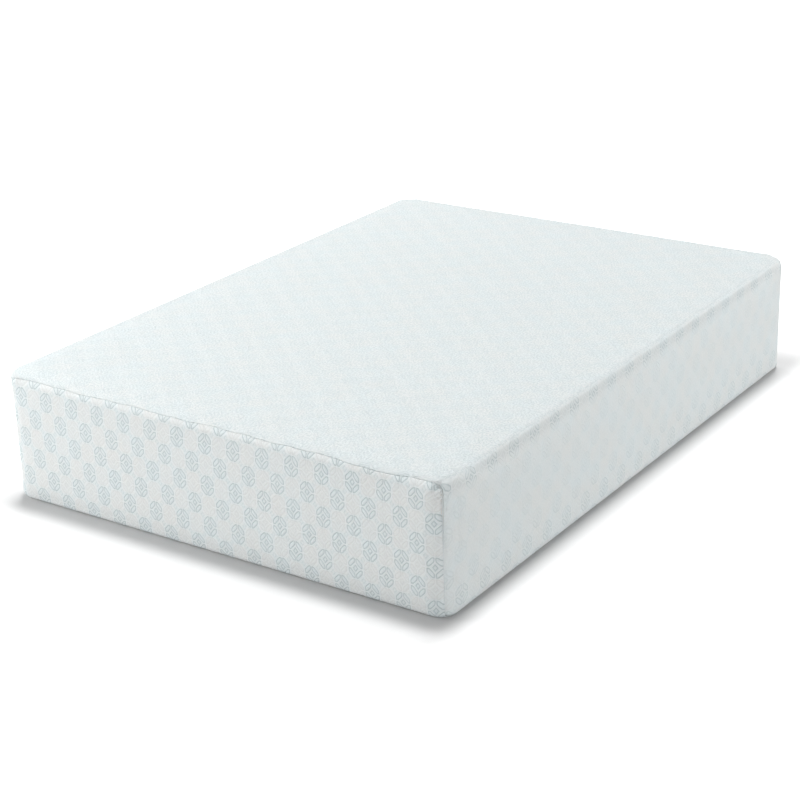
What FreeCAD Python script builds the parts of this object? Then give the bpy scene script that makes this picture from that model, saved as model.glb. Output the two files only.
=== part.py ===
import FreeCAD, Part
import math
import os
import Sketcher

# A memory foam mattress of full size: a glued foam core in a knitted fire barrier sock,
# inside a stretch-knit cover that closes with a zip across its head end.
# X runs across the mattress, Y from the foot (-Y) to the head (+Y) and Z up.
# The origin is the middle of the underside, on the surface that the mattress rests on.

# Driving sizes in millimetres (counts are plain numbers): alias, value, meaning.
SIZES = (
    ("mattress_width", 1371.6, "side to side"),
    ("mattress_length", 1905.0, "foot to head, over the cover"),
    ("mattress_height", 355.6, "underside to sleeping surface"),
    ("plan_radius", 50.0, "upright corners, seen from above"),
    ("top_radius", 32.0, "roll between the top and the sides"),
    ("bottom_radius", 16.0, "roll between the sides and the underside"),
    ("cover_thickness", 4.0, "knit of the cover"),
    ("seam_side_inset", 14.0, "long side to the opening for an end panel"),
    ("seam_top_inset", 10.0, "sleeping surface to the opening for an end panel"),
    ("turn_under", 42.0, "how far the cover runs under, to the underside panel"),
    ("opening_radius", 24.0, "upper corners of the openings for the end panels"),
    ("seam_gap", 3.0, "gap between two panels that a seam closes"),
    ("seam_recess", 1.0, "seam below the outside of the cover"),
    ("seam_depth", 2.4, "seam, measured through the cover"),
    ("soft_ease", 0.3, "clearance between soft pieces that lie inside each other"),
    ("head_room", 3.0, "room behind the head end panels for the zip"),
    ("barrier_thickness", 1.2, "fire barrier knit"),
    ("core_bevel", 16.0, "bevel round the bottom of the foam core and its sock"),
    ("flap_inset", 60.0, "edge of the barrier sock to its end flap"),
    ("memory_foam_depth", 89.0, "memory foam layer"),
    ("comfort_foam_depth", 89.0, "comfort foam layer, to its crests"),
    ("channel_pitch", 70.0, "air channels, middle to middle"),
    ("channel_width", 50.0, "air channel, across its mouth"),
    ("channel_depth", 20.0, "air channel, below the crests"),
    ("channel_count", 26, "air channels in the comfort foam"),
    ("zip_height", 60.0, "underside to the middle of the zip"),
    ("tape_margin", 2.0, "end of the zip tapes to the upright corner's curve"),
    ("tape_tuck", 6.0, "end of the slot to the end of the zip tapes"),
    ("slot_margin", 28.0, "end of the slot to the end of the closed chain"),
    ("slot_height", 17.6, "slot between the head end panels"),
    ("tape_width", 20.0, "zip tape, one side"),
    ("tape_thickness", 0.6, "zip tape"),
    ("tape_gap", 0.8, "between the inner edges of the closed tapes"),
    ("coil_width", 3.6, "coil, one side"),
    ("coil_height", 2.8, "coil, off the tape"),
    ("coil_gap", 0.2, "between the two coils where they are closed"),
    ("coil_round", 1.0, "rounding of the coil's outer edges"),
    ("mouth_run", 11.0, "length over which the coils part inside the slider"),
    ("mouth_rise", 2.4, "how far each coil moves out over that length"),
    ("coil_end", 0.4, "coil past the slider's mouth, to the top stop"),
    ("stop_length", 4.0, "zip stops, along the zip"),
    ("stop_wall", 0.8, "zip stops, where they wrap the tape"),
    ("stop_ease", 0.1, "clearance of a stop to the edge of the tape"),
    ("slider_length", 17.0, "zip slider, mouth to tail"),
    ("slider_wall", 1.2, "plates and flanges of the slider"),
    ("slider_ease", 0.3, "slider to the tapes and the coils"),
    ("slider_notch", 2.5, "depth of the V between the slider's two mouths"),
    ("slider_corner", 1.4, "rounding of the slider's corners"),
    ("divider_tip", 0.4, "half thickness of the divider at its tip"),
    ("divider_setback", 3.0, "parting point of the coils to the tip of the divider"),
    ("bridge_length", 10.0, "bridge that holds the pull, along the zip"),
    ("bridge_width", 3.0, "bridge, across the zip"),
    ("bridge_wall", 1.4, "crossbar and feet of the bridge"),
    ("pull_thickness", 1.6, "pull tab"),
    ("pull_bar", 1.8, "bar of the pull that turns under the bridge"),
    ("pull_arm", 1.5, "arms of the pull beside the bridge"),
    ("pull_ease", 0.35, "play of the pull under and beside the bridge"),
    ("pull_length", 34.0, "pull, from its pivot to its tip"),
    ("pull_width", 9.0, "pull, at its tip"),
    ("pull_corner", 3.0, "corner rounding at the tip of the pull"),
    ("grip_hole", 2.0, "radius of the hole near the tip of the pull"),
    ("grip_inset", 6.0, "tip of the pull to the middle of that hole"),
    ("metal_bevel", 0.3, "bevel of the metal's outer edges"),
    ("clear_of", 20.0, "how far a cutting shape reaches past what it cuts"),
)

HALF_WIDTH = "Sizes.mattress_width / 2"
HALF_LENGTH = "Sizes.mattress_length / 2"
TOP = "Sizes.mattress_height"

# Along the zip, from the middle: the ends of its tapes, of its slot and of the closed chain.
TAPE_END = HALF_WIDTH + " - Sizes.plan_radius - Sizes.tape_margin"
SLOT_END = TAPE_END + " - Sizes.tape_tuck"
SLOT_START = "-(%s)" % SLOT_END
PARTING = SLOT_END + " - Sizes.slot_margin"
CHAIN_START = "-(%s)" % PARTING

# Insets of the nested shells from the outside of the cover.
BARRIER_INSET = "Sizes.cover_thickness + Sizes.soft_ease"
LINING_INSET = BARRIER_INSET + " + Sizes.barrier_thickness"
CORE_INSET = LINING_INSET + " + Sizes.soft_ease"
CORE_BOTTOM = "Sizes.cover_thickness + Sizes.barrier_thickness"

doc = FreeCAD.newDocument("MemoryFoamMattress")
sheet = doc.addObject("Spreadsheet::Sheet", "Sizes")
for row, (alias, value, meaning) in enumerate(SIZES, start=1):
    sheet.set("A%d" % row, alias)
    sheet.set("B%d" % row, str(value))
    sheet.set("C%d" % row, meaning)
    sheet.setAlias("B%d" % row, alias)
doc.recompute()


# ---------------------------------------------------------------- modelling helpers

def add_sketch(body, name, plane_role, offset):
    """A sketch on one of the body's own origin planes, moved along that plane's normal."""
    sketch = body.newObject("Sketcher::SketchObject", name)
    planes = [item for item in body.Origin.OriginFeatures if item.Role == plane_role]
    sketch.AttachmentSupport = (planes[0], [""])
    sketch.MapMode = "FlatFace"
    sketch.setExpression("AttachmentOffset.Base.z", offset)
    return sketch


def add_rule(sketch, kind, numbers, value):
    """A constraint whose size follows an expression."""
    index = sketch.addConstraint(Sketcher.Constraint(kind, *numbers))
    sketch.setExpression("Constraints[%d]" % index, value)


def draw_polygon(sketch, corners):
    """A closed polygon. Each corner is a pair of expressions, in the sketch's two directions."""
    first = sketch.GeometryCount
    count = len(corners)
    turn = 2 * math.pi / count
    ring = [FreeCAD.Vector(math.cos(turn * k), math.sin(turn * k), 0) for k in range(count)]
    for k in range(count):
        sketch.addGeometry(Part.LineSegment(ring[k], ring[(k + 1) % count]), False)
    for k in range(count):
        following = first + (k + 1) % count
        sketch.addConstraint(Sketcher.Constraint("Coincident", first + k, 2, following, 1))
    for k, (across, up) in enumerate(corners):
        add_rule(sketch, "DistanceX", (-1, 1, first + k, 1, ring[k].x), across)
        add_rule(sketch, "DistanceY", (-1, 1, first + k, 1, ring[k].y), up)


def draw_circle(sketch, across, up, radius):
    circle = Part.Circle(FreeCAD.Vector(1, 1, 0), FreeCAD.Vector(0, 0, 1), 1)
    index = sketch.addGeometry(circle, False)
    add_rule(sketch, "DistanceX", (-1, 1, index, 3, 1), across)
    add_rule(sketch, "DistanceY", (-1, 1, index, 3, 1), up)
    add_rule(sketch, "Radius", (index, 1), radius)


def rectangle(low_across, high_across, low_up, high_up):
    return [(low_across, low_up), (high_across, low_up), (high_across, high_up), (low_across, high_up)]


def extrude(body, name, plane_role, start, depth, loops, cut=False):
    """Polygons on an origin plane, drawn at start and run towards the plus axis by depth.

    An outer loop comes first, and further loops stand inside it as islands or holes.
    """
    faces_minus = plane_role == "XZ_Plane"
    offset = "-(%s)" % start if faces_minus else start
    sketch = add_sketch(body, name + "Sketch", plane_role, offset)
    for loop in loops:
        draw_polygon(sketch, loop)
    feature = body.newObject("PartDesign::Pocket" if cut else "PartDesign::Pad", name)
    feature.Profile = sketch
    feature.setExpression("Length", depth)
    feature.Reversed = faces_minus != cut
    doc.recompute()
    return feature


def dress_edges(kind, measure, body, name, pick, amount):
    """A fillet or chamfer on every edge of the body so far that the function pick accepts."""
    base = body.Tip
    edges = ["Edge%d" % (k + 1) for k, edge in enumerate(base.Shape.Edges) if pick(edge)]
    dress = body.newObject("PartDesign::" + kind, name)
    dress.Base = (base, edges)
    dress.setExpression(measure, amount)
    doc.recompute()


def round_edges(body, name, pick, radius):
    dress_edges("Fillet", "Radius", body, name, pick, radius)


def bevel_edges(body, name, pick, width):
    dress_edges("Chamfer", "Size", body, name, pick, width)


def runs_along(edge, axis):
    """Whether an edge is a straight line along X, Y or Z."""
    if edge.Curve.TypeId != "Part::GeomLine":
        return False
    return abs(getattr(edge.Curve.Direction, axis)) > 0.999


def lies_at(edge, axis, level):
    """Whether all of an edge lies at one level of X, Y or Z."""
    box = edge.BoundBox
    low, high = getattr(box, axis.upper() + "Min"), getattr(box, axis.upper() + "Max")
    return abs(low - level) < 0.01 and abs(high - level) < 0.01


def combine(kind, name, base, tool):
    """A Part boolean of two objects: Cut or Common."""
    result = doc.addObject("Part::" + kind, name)
    result.Base = base
    result.Tool = tool
    doc.recompute()
    return result


def rounded_block(name, inset, head_extra="0", under="", bevel=""):
    """The mattress's outer form, moved inwards by inset, with its corners and rolls.

    The inset at the underside can be another one, and a bevel can take the place of the bottom roll.
    """
    under = under or inset
    body = doc.addObject("PartDesign::Body", name)
    outline = rectangle("-(%s - (%s))" % (HALF_WIDTH, inset), "%s - (%s)" % (HALF_WIDTH, inset),
                        "-(%s - (%s))" % (HALF_LENGTH, inset),
                        "%s - (%s) - (%s)" % (HALF_LENGTH, inset, head_extra))
    extrude(body, name + "Pad", "XY_Plane", under, "%s - (%s) - (%s)" % (TOP, inset, under), [outline])
    round_edges(body, name + "Corners", lambda edge: runs_along(edge, "z"),
                "Sizes.plan_radius - (%s)" % inset)
    top_level = body.Tip.Shape.BoundBox.ZMax
    round_edges(body, name + "TopRoll", lambda edge: lies_at(edge, "z", top_level),
                "Sizes.top_radius - (%s)" % inset)
    low_level = body.Tip.Shape.BoundBox.ZMin
    dress_bottom = bevel_edges if bevel else round_edges
    dress_bottom(body, name + "BottomRoll", lambda edge: lies_at(edge, "z", low_level),
                 bevel or "Sizes.bottom_radius - (%s)" % inset)
    return body


def shell_between(name, outer, inner):
    return combine("Cut", name, outer, inner)


def end_region(name, at_head, shrink, corners=None):
    """The upright shape that separates an end panel from the wrap, open at the underside.

    With shrink 0 it is the opening in the wrap, and a shrink of one seam gap gives the panel.
    """
    half = "%s - Sizes.seam_side_inset - (%s)" % (HALF_WIDTH, shrink)
    high = "%s - Sizes.seam_top_inset - (%s)" % (TOP, shrink)
    corners = corners or rectangle("-(%s)" % half, half, "-Sizes.clear_of", high)
    start = "%s - Sizes.turn_under" % HALF_LENGTH if at_head else "-(%s + Sizes.clear_of)" % HALF_LENGTH
    body = doc.addObject("PartDesign::Body", name)
    extrude(body, name + "Pad", "XZ_Plane", start, "Sizes.turn_under + Sizes.clear_of", [corners])
    level = size("mattress_height") - size("seam_top_inset") - size("seam_gap")
    round_edges(body, name + "Corners",
                lambda edge: runs_along(edge, "y") and edge.BoundBox.ZMax > level - 1,
                "Sizes.opening_radius - (%s)" % shrink)
    return body


def size(alias):
    return float(sheet.get(alias))


def finish(item, label):
    """Give a finished sub-part the name of its node."""
    item.Label = label
    nodes.append(item)


nodes = []


# ---------------------------------------------------------------- the cover

cover_outside = rounded_block("CoverOutside", "0")
cover_inside = rounded_block("CoverInside", "Sizes.cover_thickness",
                             bevel="Sizes.bottom_radius - Sizes.cover_thickness")
cover_shell = shell_between("CoverShell", cover_outside, cover_inside)

SEAM_INNER = "Sizes.seam_recess + Sizes.seam_depth"
seam_outside = rounded_block("SeamOutside", "Sizes.seam_recess")
seam_inside = rounded_block("SeamInside", SEAM_INNER)
seam_shell = shell_between("SeamShell", seam_outside, seam_inside)

RING_INNER = "Sizes.seam_gap - Sizes.soft_ease"


def end_seam(name, at_head):
    """The bead of thread and turned edges up one side of an end panel, across and down."""
    outer = end_region(name + "Outer", at_head, "Sizes.soft_ease")
    inner = end_region(name + "Inner", at_head, RING_INNER)
    ring = combine("Cut", name + "Ring", outer, inner)
    return combine("Common", name, seam_shell, ring)


def underside_region(name, shrink):
    """The flat rectangle that separates the underside panel from the panels around it."""
    half_x = "%s - Sizes.turn_under - (%s)" % (HALF_WIDTH, shrink)
    half_y = "%s - Sizes.turn_under - (%s)" % (HALF_LENGTH, shrink)
    body = doc.addObject("PartDesign::Body", name)
    extrude(body, name + "Pad", "XY_Plane", "-Sizes.clear_of", "2 * Sizes.clear_of",
            [rectangle("-(%s)" % half_x, half_x, "-(%s)" % half_y, half_y)])
    return body


def wrap_panel():
    """One piece of knit over the top and down both long sides, turned under at the bottom."""
    foot_cut = combine("Cut", "WrapFoot", cover_shell, end_region("FootOpening", False, "0"))
    head_cut = combine("Cut", "WrapHead", foot_cut, end_region("HeadOpening", True, "0"))
    wrap = combine("Cut", "CoverWrapPanel", head_cut, underside_region("UndersideOpening", "0"))
    finish(wrap, "cover_wrap_panel")


def foot_panel():
    panel = combine("Common", "FootEndPanel", cover_shell, end_region("FootRegion", False, "Sizes.seam_gap"))
    finish(panel, "foot_end_panel")


def head_panels():
    """Two panels with the zip's slot between them, meeting edge to edge beyond its ends."""
    half = "%s - Sizes.seam_side_inset - Sizes.seam_gap" % HALF_WIDTH
    high = "%s - Sizes.seam_top_inset - Sizes.seam_gap" % TOP
    meet, edge = "Sizes.zip_height + Sizes.soft_ease / 2", "Sizes.zip_height + Sizes.slot_height / 2"
    upper = [("-(%s)" % half, high), ("-(%s)" % half, meet), (SLOT_START, meet), (SLOT_START, edge),
             (SLOT_END, edge), (SLOT_END, meet), (half, meet), (half, high)]
    region = end_region("HeadRegion", True, "Sizes.seam_gap", upper)
    finish(combine("Common", "HeadEndPanel", cover_shell, region), "head_end_panel")
    meet, edge = "Sizes.zip_height - Sizes.soft_ease / 2", "Sizes.zip_height - Sizes.slot_height / 2"
    lower = [("-(%s)" % half, "-Sizes.clear_of"), (half, "-Sizes.clear_of"), (half, meet), (SLOT_END, meet),
             (SLOT_END, edge), (SLOT_START, edge), (SLOT_START, meet), ("-(%s)" % half, meet)]
    body = doc.addObject("PartDesign::Body", "HeadLowerRegion")
    extrude(body, "HeadLowerPad", "XZ_Plane", "%s - Sizes.turn_under" % HALF_LENGTH,
            "Sizes.turn_under + Sizes.clear_of", [lower])
    finish(combine("Common", "LowerHeadPanel", cover_shell, body), "lower_head_panel")


def underside():
    """The flat panel that the mattress rests on, and the seam all round it."""
    panel = combine("Common", "UndersidePanel", cover_shell,
                    underside_region("UndersideRegion", "Sizes.seam_gap"))
    finish(panel, "underside_panel")
    ring = combine("Cut", "UndersideRing", underside_region("UndersideRingOuter", "Sizes.soft_ease"),
                   underside_region("UndersideRingInner", RING_INNER))
    finish(combine("Common", "UndersideSeam", seam_shell, ring), "underside_seam")


wrap_panel()
foot_panel()
head_panels()
underside()
finish(end_seam("FootEndSeam", False), "foot_end_seam")
finish(end_seam("HeadEndSeam", True), "head_end_seam")


# ---------------------------------------------------------------- the fire barrier sock

def barrier():
    """A thin knitted sock round the foam, closed at the head end by a flap sewn in."""
    outside = rounded_block("BarrierOutside", BARRIER_INSET, "Sizes.head_room", "Sizes.cover_thickness",
                            "Sizes.core_bevel")
    inside = rounded_block("BarrierInside", LINING_INSET, "Sizes.head_room", CORE_BOTTOM,
                           "Sizes.core_bevel")
    shell = shell_between("BarrierShell", outside, inside)

    def mouth(name, shrink):
        half = "%s - Sizes.flap_inset - (%s)" % (HALF_WIDTH, shrink)
        body = doc.addObject("PartDesign::Body", name)
        outline = rectangle("-(%s)" % half, half, "Sizes.flap_inset + (%s)" % shrink,
                            "%s - Sizes.flap_inset - (%s)" % (TOP, shrink))
        extrude(body, name + "Pad", "XZ_Plane", "%s - Sizes.clear_of" % HALF_LENGTH,
                "Sizes.clear_of", [outline])
        return body

    finish(combine("Cut", "FireBarrierSock", shell, mouth("BarrierMouth", "0")), "fire_barrier_sock")
    flap = combine("Common", "BarrierEndFlap", shell, mouth("FlapRegion", "Sizes.soft_ease"))
    finish(flap, "barrier_end_flap")


barrier()


# ---------------------------------------------------------------- the foam core

CORE_TOP = "%s - (%s)" % (TOP, CORE_INSET)
MEMORY_BOTTOM = "%s - Sizes.memory_foam_depth" % CORE_TOP
COMFORT_BOTTOM = "%s - Sizes.comfort_foam_depth" % MEMORY_BOTTOM

foam_core = rounded_block("FoamCore", CORE_INSET, "Sizes.head_room", CORE_BOTTOM, "Sizes.core_bevel")
SLAB_PLAN = rectangle("-(%s)" % HALF_WIDTH, HALF_WIDTH, "-(%s)" % HALF_LENGTH, HALF_LENGTH)


def foam_slab(name, bottom, depth):
    """A slab larger than the core in plan, to be trimmed by the core's outline."""
    body = doc.addObject("PartDesign::Body", name)
    extrude(body, name + "Pad", "XY_Plane", bottom, depth, [SLAB_PLAN])
    return body


def air_channels(slab):
    """Round-bottomed channels across the slab's upper face, cut at an even pitch."""
    radius = "(Sizes.channel_width^2 / 4 + Sizes.channel_depth^2) / (2 * Sizes.channel_depth)"
    sketch = add_sketch(slab, "ChannelSketch", "YZ_Plane", "-(%s)" % HALF_WIDTH)
    draw_circle(sketch, "-Sizes.channel_pitch * (Sizes.channel_count - 1) / 2",
                "%s - Sizes.channel_depth + %s" % (MEMORY_BOTTOM, radius), radius)
    channel = slab.newObject("PartDesign::Pocket", "Channel")
    channel.Profile = sketch
    channel.setExpression("Length", "Sizes.mattress_width")
    channel.Reversed = True
    doc.recompute()
    row = slab.newObject("PartDesign::LinearPattern", "Channels")
    row.Originals = [channel]
    lengthwise = [item for item in slab.Origin.OriginFeatures if item.Role == "Y_Axis"]
    row.Direction = (lengthwise[0], [""])
    row.Mode = "Spacing"
    row.setExpression("Offset", "Sizes.channel_pitch")
    row.setExpression("Occurrences", "Sizes.channel_count")
    slab.Tip = row
    doc.recompute()


def foam_layers():
    """Support foam at the bottom, channelled comfort foam on it and memory foam on top."""
    support = foam_slab("SupportSlab", CORE_BOTTOM, "%s - (%s)" % (COMFORT_BOTTOM, CORE_BOTTOM))
    comfort = foam_slab("ComfortSlab", COMFORT_BOTTOM, "Sizes.comfort_foam_depth")
    air_channels(comfort)
    memory = foam_slab("MemorySlab", MEMORY_BOTTOM, "Sizes.memory_foam_depth")
    finish(combine("Common", "SupportFoamCore", foam_core, support), "support_foam_core")
    finish(combine("Common", "ComfortFoamLayer", foam_core, comfort), "comfort_foam_layer")
    finish(combine("Common", "MemoryFoamLayer", foam_core, memory), "memory_foam_layer")


foam_layers()


# ---------------------------------------------------------------- the zip

# Along the zip: the coils start at the bottom stop, part at PARTING and leave the slider at MOUTH.
MOUTH = PARTING + " + Sizes.mouth_run"
COIL_TIP = MOUTH + " + Sizes.coil_end"
TAIL = MOUTH + " - Sizes.slider_length"

# Outwards through the zip: the tapes lie against the inner face of the head end panels.
TAPE_FACE = HALF_LENGTH + " - Sizes.cover_thickness"
TAPE_BACK = TAPE_FACE + " - Sizes.tape_thickness"
SLIDER_BACK = TAPE_BACK + " - Sizes.slider_ease - Sizes.slider_wall"
COIL_CEILING = TAPE_FACE + " + Sizes.coil_height + Sizes.slider_ease"
SLIDER_FACE = COIL_CEILING + " + Sizes.slider_wall"
PULL_SWING = "hypot(Sizes.pull_bar; Sizes.pull_thickness) / 2 + Sizes.pull_ease"
PIVOT_LEVEL = SLIDER_FACE + " + " + PULL_SWING
BRIDGE_CEILING = PIVOT_LEVEL + " + " + PULL_SWING
PIVOT_ALONG = MOUTH + " - Sizes.slider_length / 2"

# Across the zip, measured from its middle.
COIL_NEAR = "Sizes.coil_gap / 2"
COIL_FAR = "Sizes.coil_gap / 2 + Sizes.coil_width"
TAPE_NEAR = "Sizes.tape_gap / 2"
RISE = "Sizes.mouth_rise"


def across(side, offset):
    """A height on one side of the zip: side is + above its middle and - below it."""
    return "Sizes.zip_height %s (%s)" % (side, offset)


def zip_tape(name, label, side):
    """A woven tape whose inner edge steps aside where the slider parts the coils."""
    start, near, far = "-(%s)" % TAPE_END, TAPE_NEAR, TAPE_NEAR + " + Sizes.tape_width"
    corners = [(start, near), (PARTING, near), (MOUTH, "%s + %s" % (near, RISE)),
               (TAPE_END, "%s + %s" % (near, RISE)), (TAPE_END, far), (start, far)]
    body = doc.addObject("PartDesign::Body", name)
    extrude(body, name + "Pad", "XZ_Plane", TAPE_BACK, "Sizes.tape_thickness",
            [[(along, across(side, offset)) for along, offset in corners]])
    finish(body, label)


def zip_coil(name, label, side):
    """One row of coil, drawn as its envelope, sewn to its tape and parted at the slider."""
    near, far = COIL_NEAR, COIL_FAR
    tip_near, tip_far = "%s + %s" % (near, RISE), "%s + %s" % (far, RISE)
    corners = [(CHAIN_START, near), (PARTING, near), (MOUTH, tip_near), (COIL_TIP, tip_near),
               (COIL_TIP, tip_far), (MOUTH, tip_far), (PARTING, far), (CHAIN_START, far)]
    body = doc.addObject("PartDesign::Body", name)
    extrude(body, name + "Pad", "XZ_Plane", TAPE_FACE, "Sizes.coil_height",
            [[(along, across(side, offset)) for along, offset in corners]])
    outer_level = body.Tip.Shape.BoundBox.YMax

    def is_long_outer_edge(edge):
        return lies_at(edge, "y", outer_level) and not runs_along(edge, "z")

    round_edges(body, name + "Round", is_long_outer_edge, "Sizes.coil_round")
    finish(body, label)


def bottom_stop():
    """A crimped bar across both coils' ends, its web in the gap between the tapes."""
    front = TAPE_FACE + " + Sizes.coil_height"
    back = TAPE_BACK + " - Sizes.stop_wall"
    cap = COIL_FAR + " + Sizes.stop_wall"
    web = "%s - Sizes.stop_ease" % TAPE_NEAR
    half = [(front, cap), (TAPE_FACE, cap), (TAPE_FACE, web), (TAPE_BACK, web), (TAPE_BACK, COIL_FAR),
            (back, COIL_FAR)]
    upper = [(level, across("+", offset)) for level, offset in half]
    lower = [(level, across("-", offset)) for level, offset in reversed(half)]
    body = doc.addObject("PartDesign::Body", "ZipBottomStop")
    extrude(body, "BottomStopPad", "YZ_Plane", "%s - Sizes.stop_length" % CHAIN_START,
            "Sizes.stop_length", [upper + lower])
    front_level = body.Tip.Shape.BoundBox.YMax
    bevel_edges(body, "BottomStopBevel", lambda edge: lies_at(edge, "y", front_level), "Sizes.metal_bevel")
    finish(body, "zip_bottom_stop")


def top_stop(side, name):
    """A clip round the inner edge of one tape, at the end of its coil."""
    edge = "%s + %s - Sizes.stop_ease" % (TAPE_NEAR, RISE)
    outer = "%s - Sizes.stop_wall" % edge
    far = "%s + %s" % (COIL_FAR, RISE)
    front = TAPE_FACE + " + Sizes.coil_height"
    back = TAPE_BACK + " - Sizes.stop_wall"
    corners = [(front, outer), (front, far), (TAPE_FACE, far), (TAPE_FACE, edge), (TAPE_BACK, edge),
               (TAPE_BACK, far), (back, far), (back, outer)]
    body = doc.addObject("PartDesign::Body", name)
    extrude(body, name + "Pad", "YZ_Plane", COIL_TIP, "Sizes.stop_length",
            [[(level, across(side, offset)) for level, offset in corners]])
    return body


def top_stops():
    pair = doc.addObject("Part::Compound", "ZipTopStops")
    pair.Links = [top_stop("+", "TopStopUpper"), top_stop("-", "TopStopLower")]
    doc.recompute()
    finish(pair, "zip_top_stops")


def slider_outline(half_tail, notch):
    """The shield seen from outside: narrow tail, sides that part with the coils, notched mouth."""
    half_mouth = "%s + %s" % (half_tail, RISE)
    upper = [(TAIL, half_tail), (PARTING, half_tail), (MOUTH, half_mouth)]
    outline = [(along, across("-", offset)) for along, offset in upper]
    outline.append(("%s - (%s)" % (MOUTH, notch), "Sizes.zip_height"))
    outline += [(along, across("+", offset)) for along, offset in reversed(upper)]
    return outline


def divider():
    """The wedge that parts the coils: its walls run beside them, one slider ease away."""
    tip = "%s + Sizes.divider_setback" % PARTING
    front = "%s - Sizes.slider_notch" % MOUTH
    wide = "%s + %s * (1 - Sizes.slider_notch / Sizes.mouth_run) - Sizes.slider_ease" % (COIL_NEAR, RISE)
    return [(tip, across("-", "Sizes.divider_tip")), (front, across("-", wide)),
            (front, across("+", wide)), (tip, across("+", "Sizes.divider_tip"))]


def zip_slider():
    """Two shield-shaped plates joined by the divider, with flanges that hold the coils together."""
    passage = "%s + Sizes.slider_ease" % COIL_FAR
    body = doc.addObject("PartDesign::Body", "ZipSlider")
    outline = slider_outline("%s + Sizes.slider_wall" % passage, "Sizes.slider_notch")
    extrude(body, "SliderBlock", "XZ_Plane", SLIDER_BACK, "%s - (%s)" % (SLIDER_FACE, SLIDER_BACK), [outline])
    round_edges(body, "SliderCorners", is_slider_corner, "Sizes.slider_corner")
    plate_levels = (body.Tip.Shape.BoundBox.YMin, body.Tip.Shape.BoundBox.YMax)
    bevel_edges(body, "SliderRims", lambda edge: any(lies_at(edge, "y", level) for level in plate_levels),
                "Sizes.metal_bevel")
    beyond = "%s + %s + Sizes.clear_of" % (passage, RISE)
    tape_hall = rectangle("%s - Sizes.clear_of" % TAIL, "%s + Sizes.clear_of" % MOUTH,
                          across("-", beyond), across("+", beyond))
    extrude(body, "TapePassage", "XZ_Plane", "%s - Sizes.slider_ease" % TAPE_BACK,
            "Sizes.tape_thickness + 2 * Sizes.slider_ease", [tape_hall, divider()], cut=True)
    extrude(body, "CoilPassage", "XZ_Plane", TAPE_FACE, "%s - (%s)" % (COIL_CEILING, TAPE_FACE),
            [passage_outline(passage), divider()], cut=True)
    add_bridge(body)
    finish(body, "zip_slider")


def is_slider_corner(edge):
    """An upright edge of the slider's block, apart from the one in its notch."""
    on_middle = abs(edge.BoundBox.ZMin - size("zip_height")) < 0.01
    return runs_along(edge, "y") and not on_middle


def passage_outline(half_tail):
    """The Y-shaped way through the slider, run out past the tail and both mouths."""
    slope = "%s / Sizes.mouth_run" % RISE
    half_out = "%s + %s + %s * Sizes.clear_of" % (half_tail, RISE, slope)
    upper = [("%s - Sizes.clear_of" % TAIL, half_tail), (PARTING, half_tail),
             ("%s + Sizes.clear_of" % MOUTH, half_out)]
    lower = [(along, across("-", offset)) for along, offset in upper]
    return lower + [(along, across("+", offset)) for along, offset in reversed(upper)]


def add_bridge(body):
    """The arch on the slider's face, with the opening in which the pull's bar turns."""
    low = "%s - Sizes.slider_wall / 2" % SLIDER_FACE
    high = "%s + Sizes.bridge_wall" % BRIDGE_CEILING
    tail_end = "%s - Sizes.bridge_length / 2" % PIVOT_ALONG
    mouth_end = "%s + Sizes.bridge_length / 2" % PIVOT_ALONG
    arch = rectangle(tail_end, mouth_end, low, high)
    opening = rectangle("%s + Sizes.bridge_wall" % tail_end, "%s - Sizes.bridge_wall" % mouth_end,
                        SLIDER_FACE, BRIDGE_CEILING)
    extrude(body, "Bridge", "XY_Plane", "Sizes.zip_height - Sizes.bridge_width / 2",
            "Sizes.bridge_width", [arch])
    crown_level = body.Tip.Shape.BoundBox.YMax
    round_edges(body, "BridgeCrown", lambda edge: lies_at(edge, "y", crown_level) and runs_along(edge, "z"),
                "Sizes.bridge_wall")
    extrude(body, "BridgeOpening", "XY_Plane", "Sizes.zip_height - Sizes.bridge_width",
            "2 * Sizes.bridge_width", [opening], cut=True)


def zip_pull():
    """A tapered tab whose bar turns under the bridge; it lies flat, pointing along the closed zip."""
    eye_half = "Sizes.bridge_width / 2 + Sizes.pull_ease"
    root_half = "%s + Sizes.pull_arm" % eye_half
    bar_front = "%s + Sizes.pull_bar / 2" % PIVOT_ALONG
    eye_front = "%s - Sizes.pull_bar / 2" % PIVOT_ALONG
    eye_back = "%s - Sizes.bridge_length / 2 - Sizes.pull_ease" % PIVOT_ALONG
    tip = "%s - Sizes.pull_length" % PIVOT_ALONG
    low = "%s - Sizes.pull_thickness / 2" % PIVOT_LEVEL
    tab = [(tip, across("-", "Sizes.pull_width / 2")), (eye_back, across("-", root_half)),
           (bar_front, across("-", root_half)), (bar_front, across("+", root_half)),
           (eye_back, across("+", root_half)), (tip, across("+", "Sizes.pull_width / 2"))]
    eye = rectangle(eye_back, eye_front, across("-", eye_half), across("+", eye_half))
    body = doc.addObject("PartDesign::Body", "ZipPull")
    extrude(body, "PullTab", "XZ_Plane", low, "Sizes.pull_thickness", [tab, eye])
    tip_level = body.Tip.Shape.BoundBox.XMin
    round_edges(body, "PullTip", lambda edge: runs_along(edge, "y") and lies_at(edge, "x", tip_level),
                "Sizes.pull_corner")
    faces = (body.Tip.Shape.BoundBox.YMin, body.Tip.Shape.BoundBox.YMax)
    bevel_edges(body, "PullRims", lambda edge: any(lies_at(edge, "y", level) for level in faces),
                "Sizes.metal_bevel")
    sketch = add_sketch(body, "GripHoleSketch", "XZ_Plane", "-(%s)" % low)
    draw_circle(sketch, "%s + Sizes.grip_inset" % tip, "Sizes.zip_height", "Sizes.grip_hole")
    hole = body.newObject("PartDesign::Pocket", "GripHole")
    hole.Profile = sketch
    hole.setExpression("Length", "Sizes.pull_thickness")
    doc.recompute()
    finish(body, "zip_pull")


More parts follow.
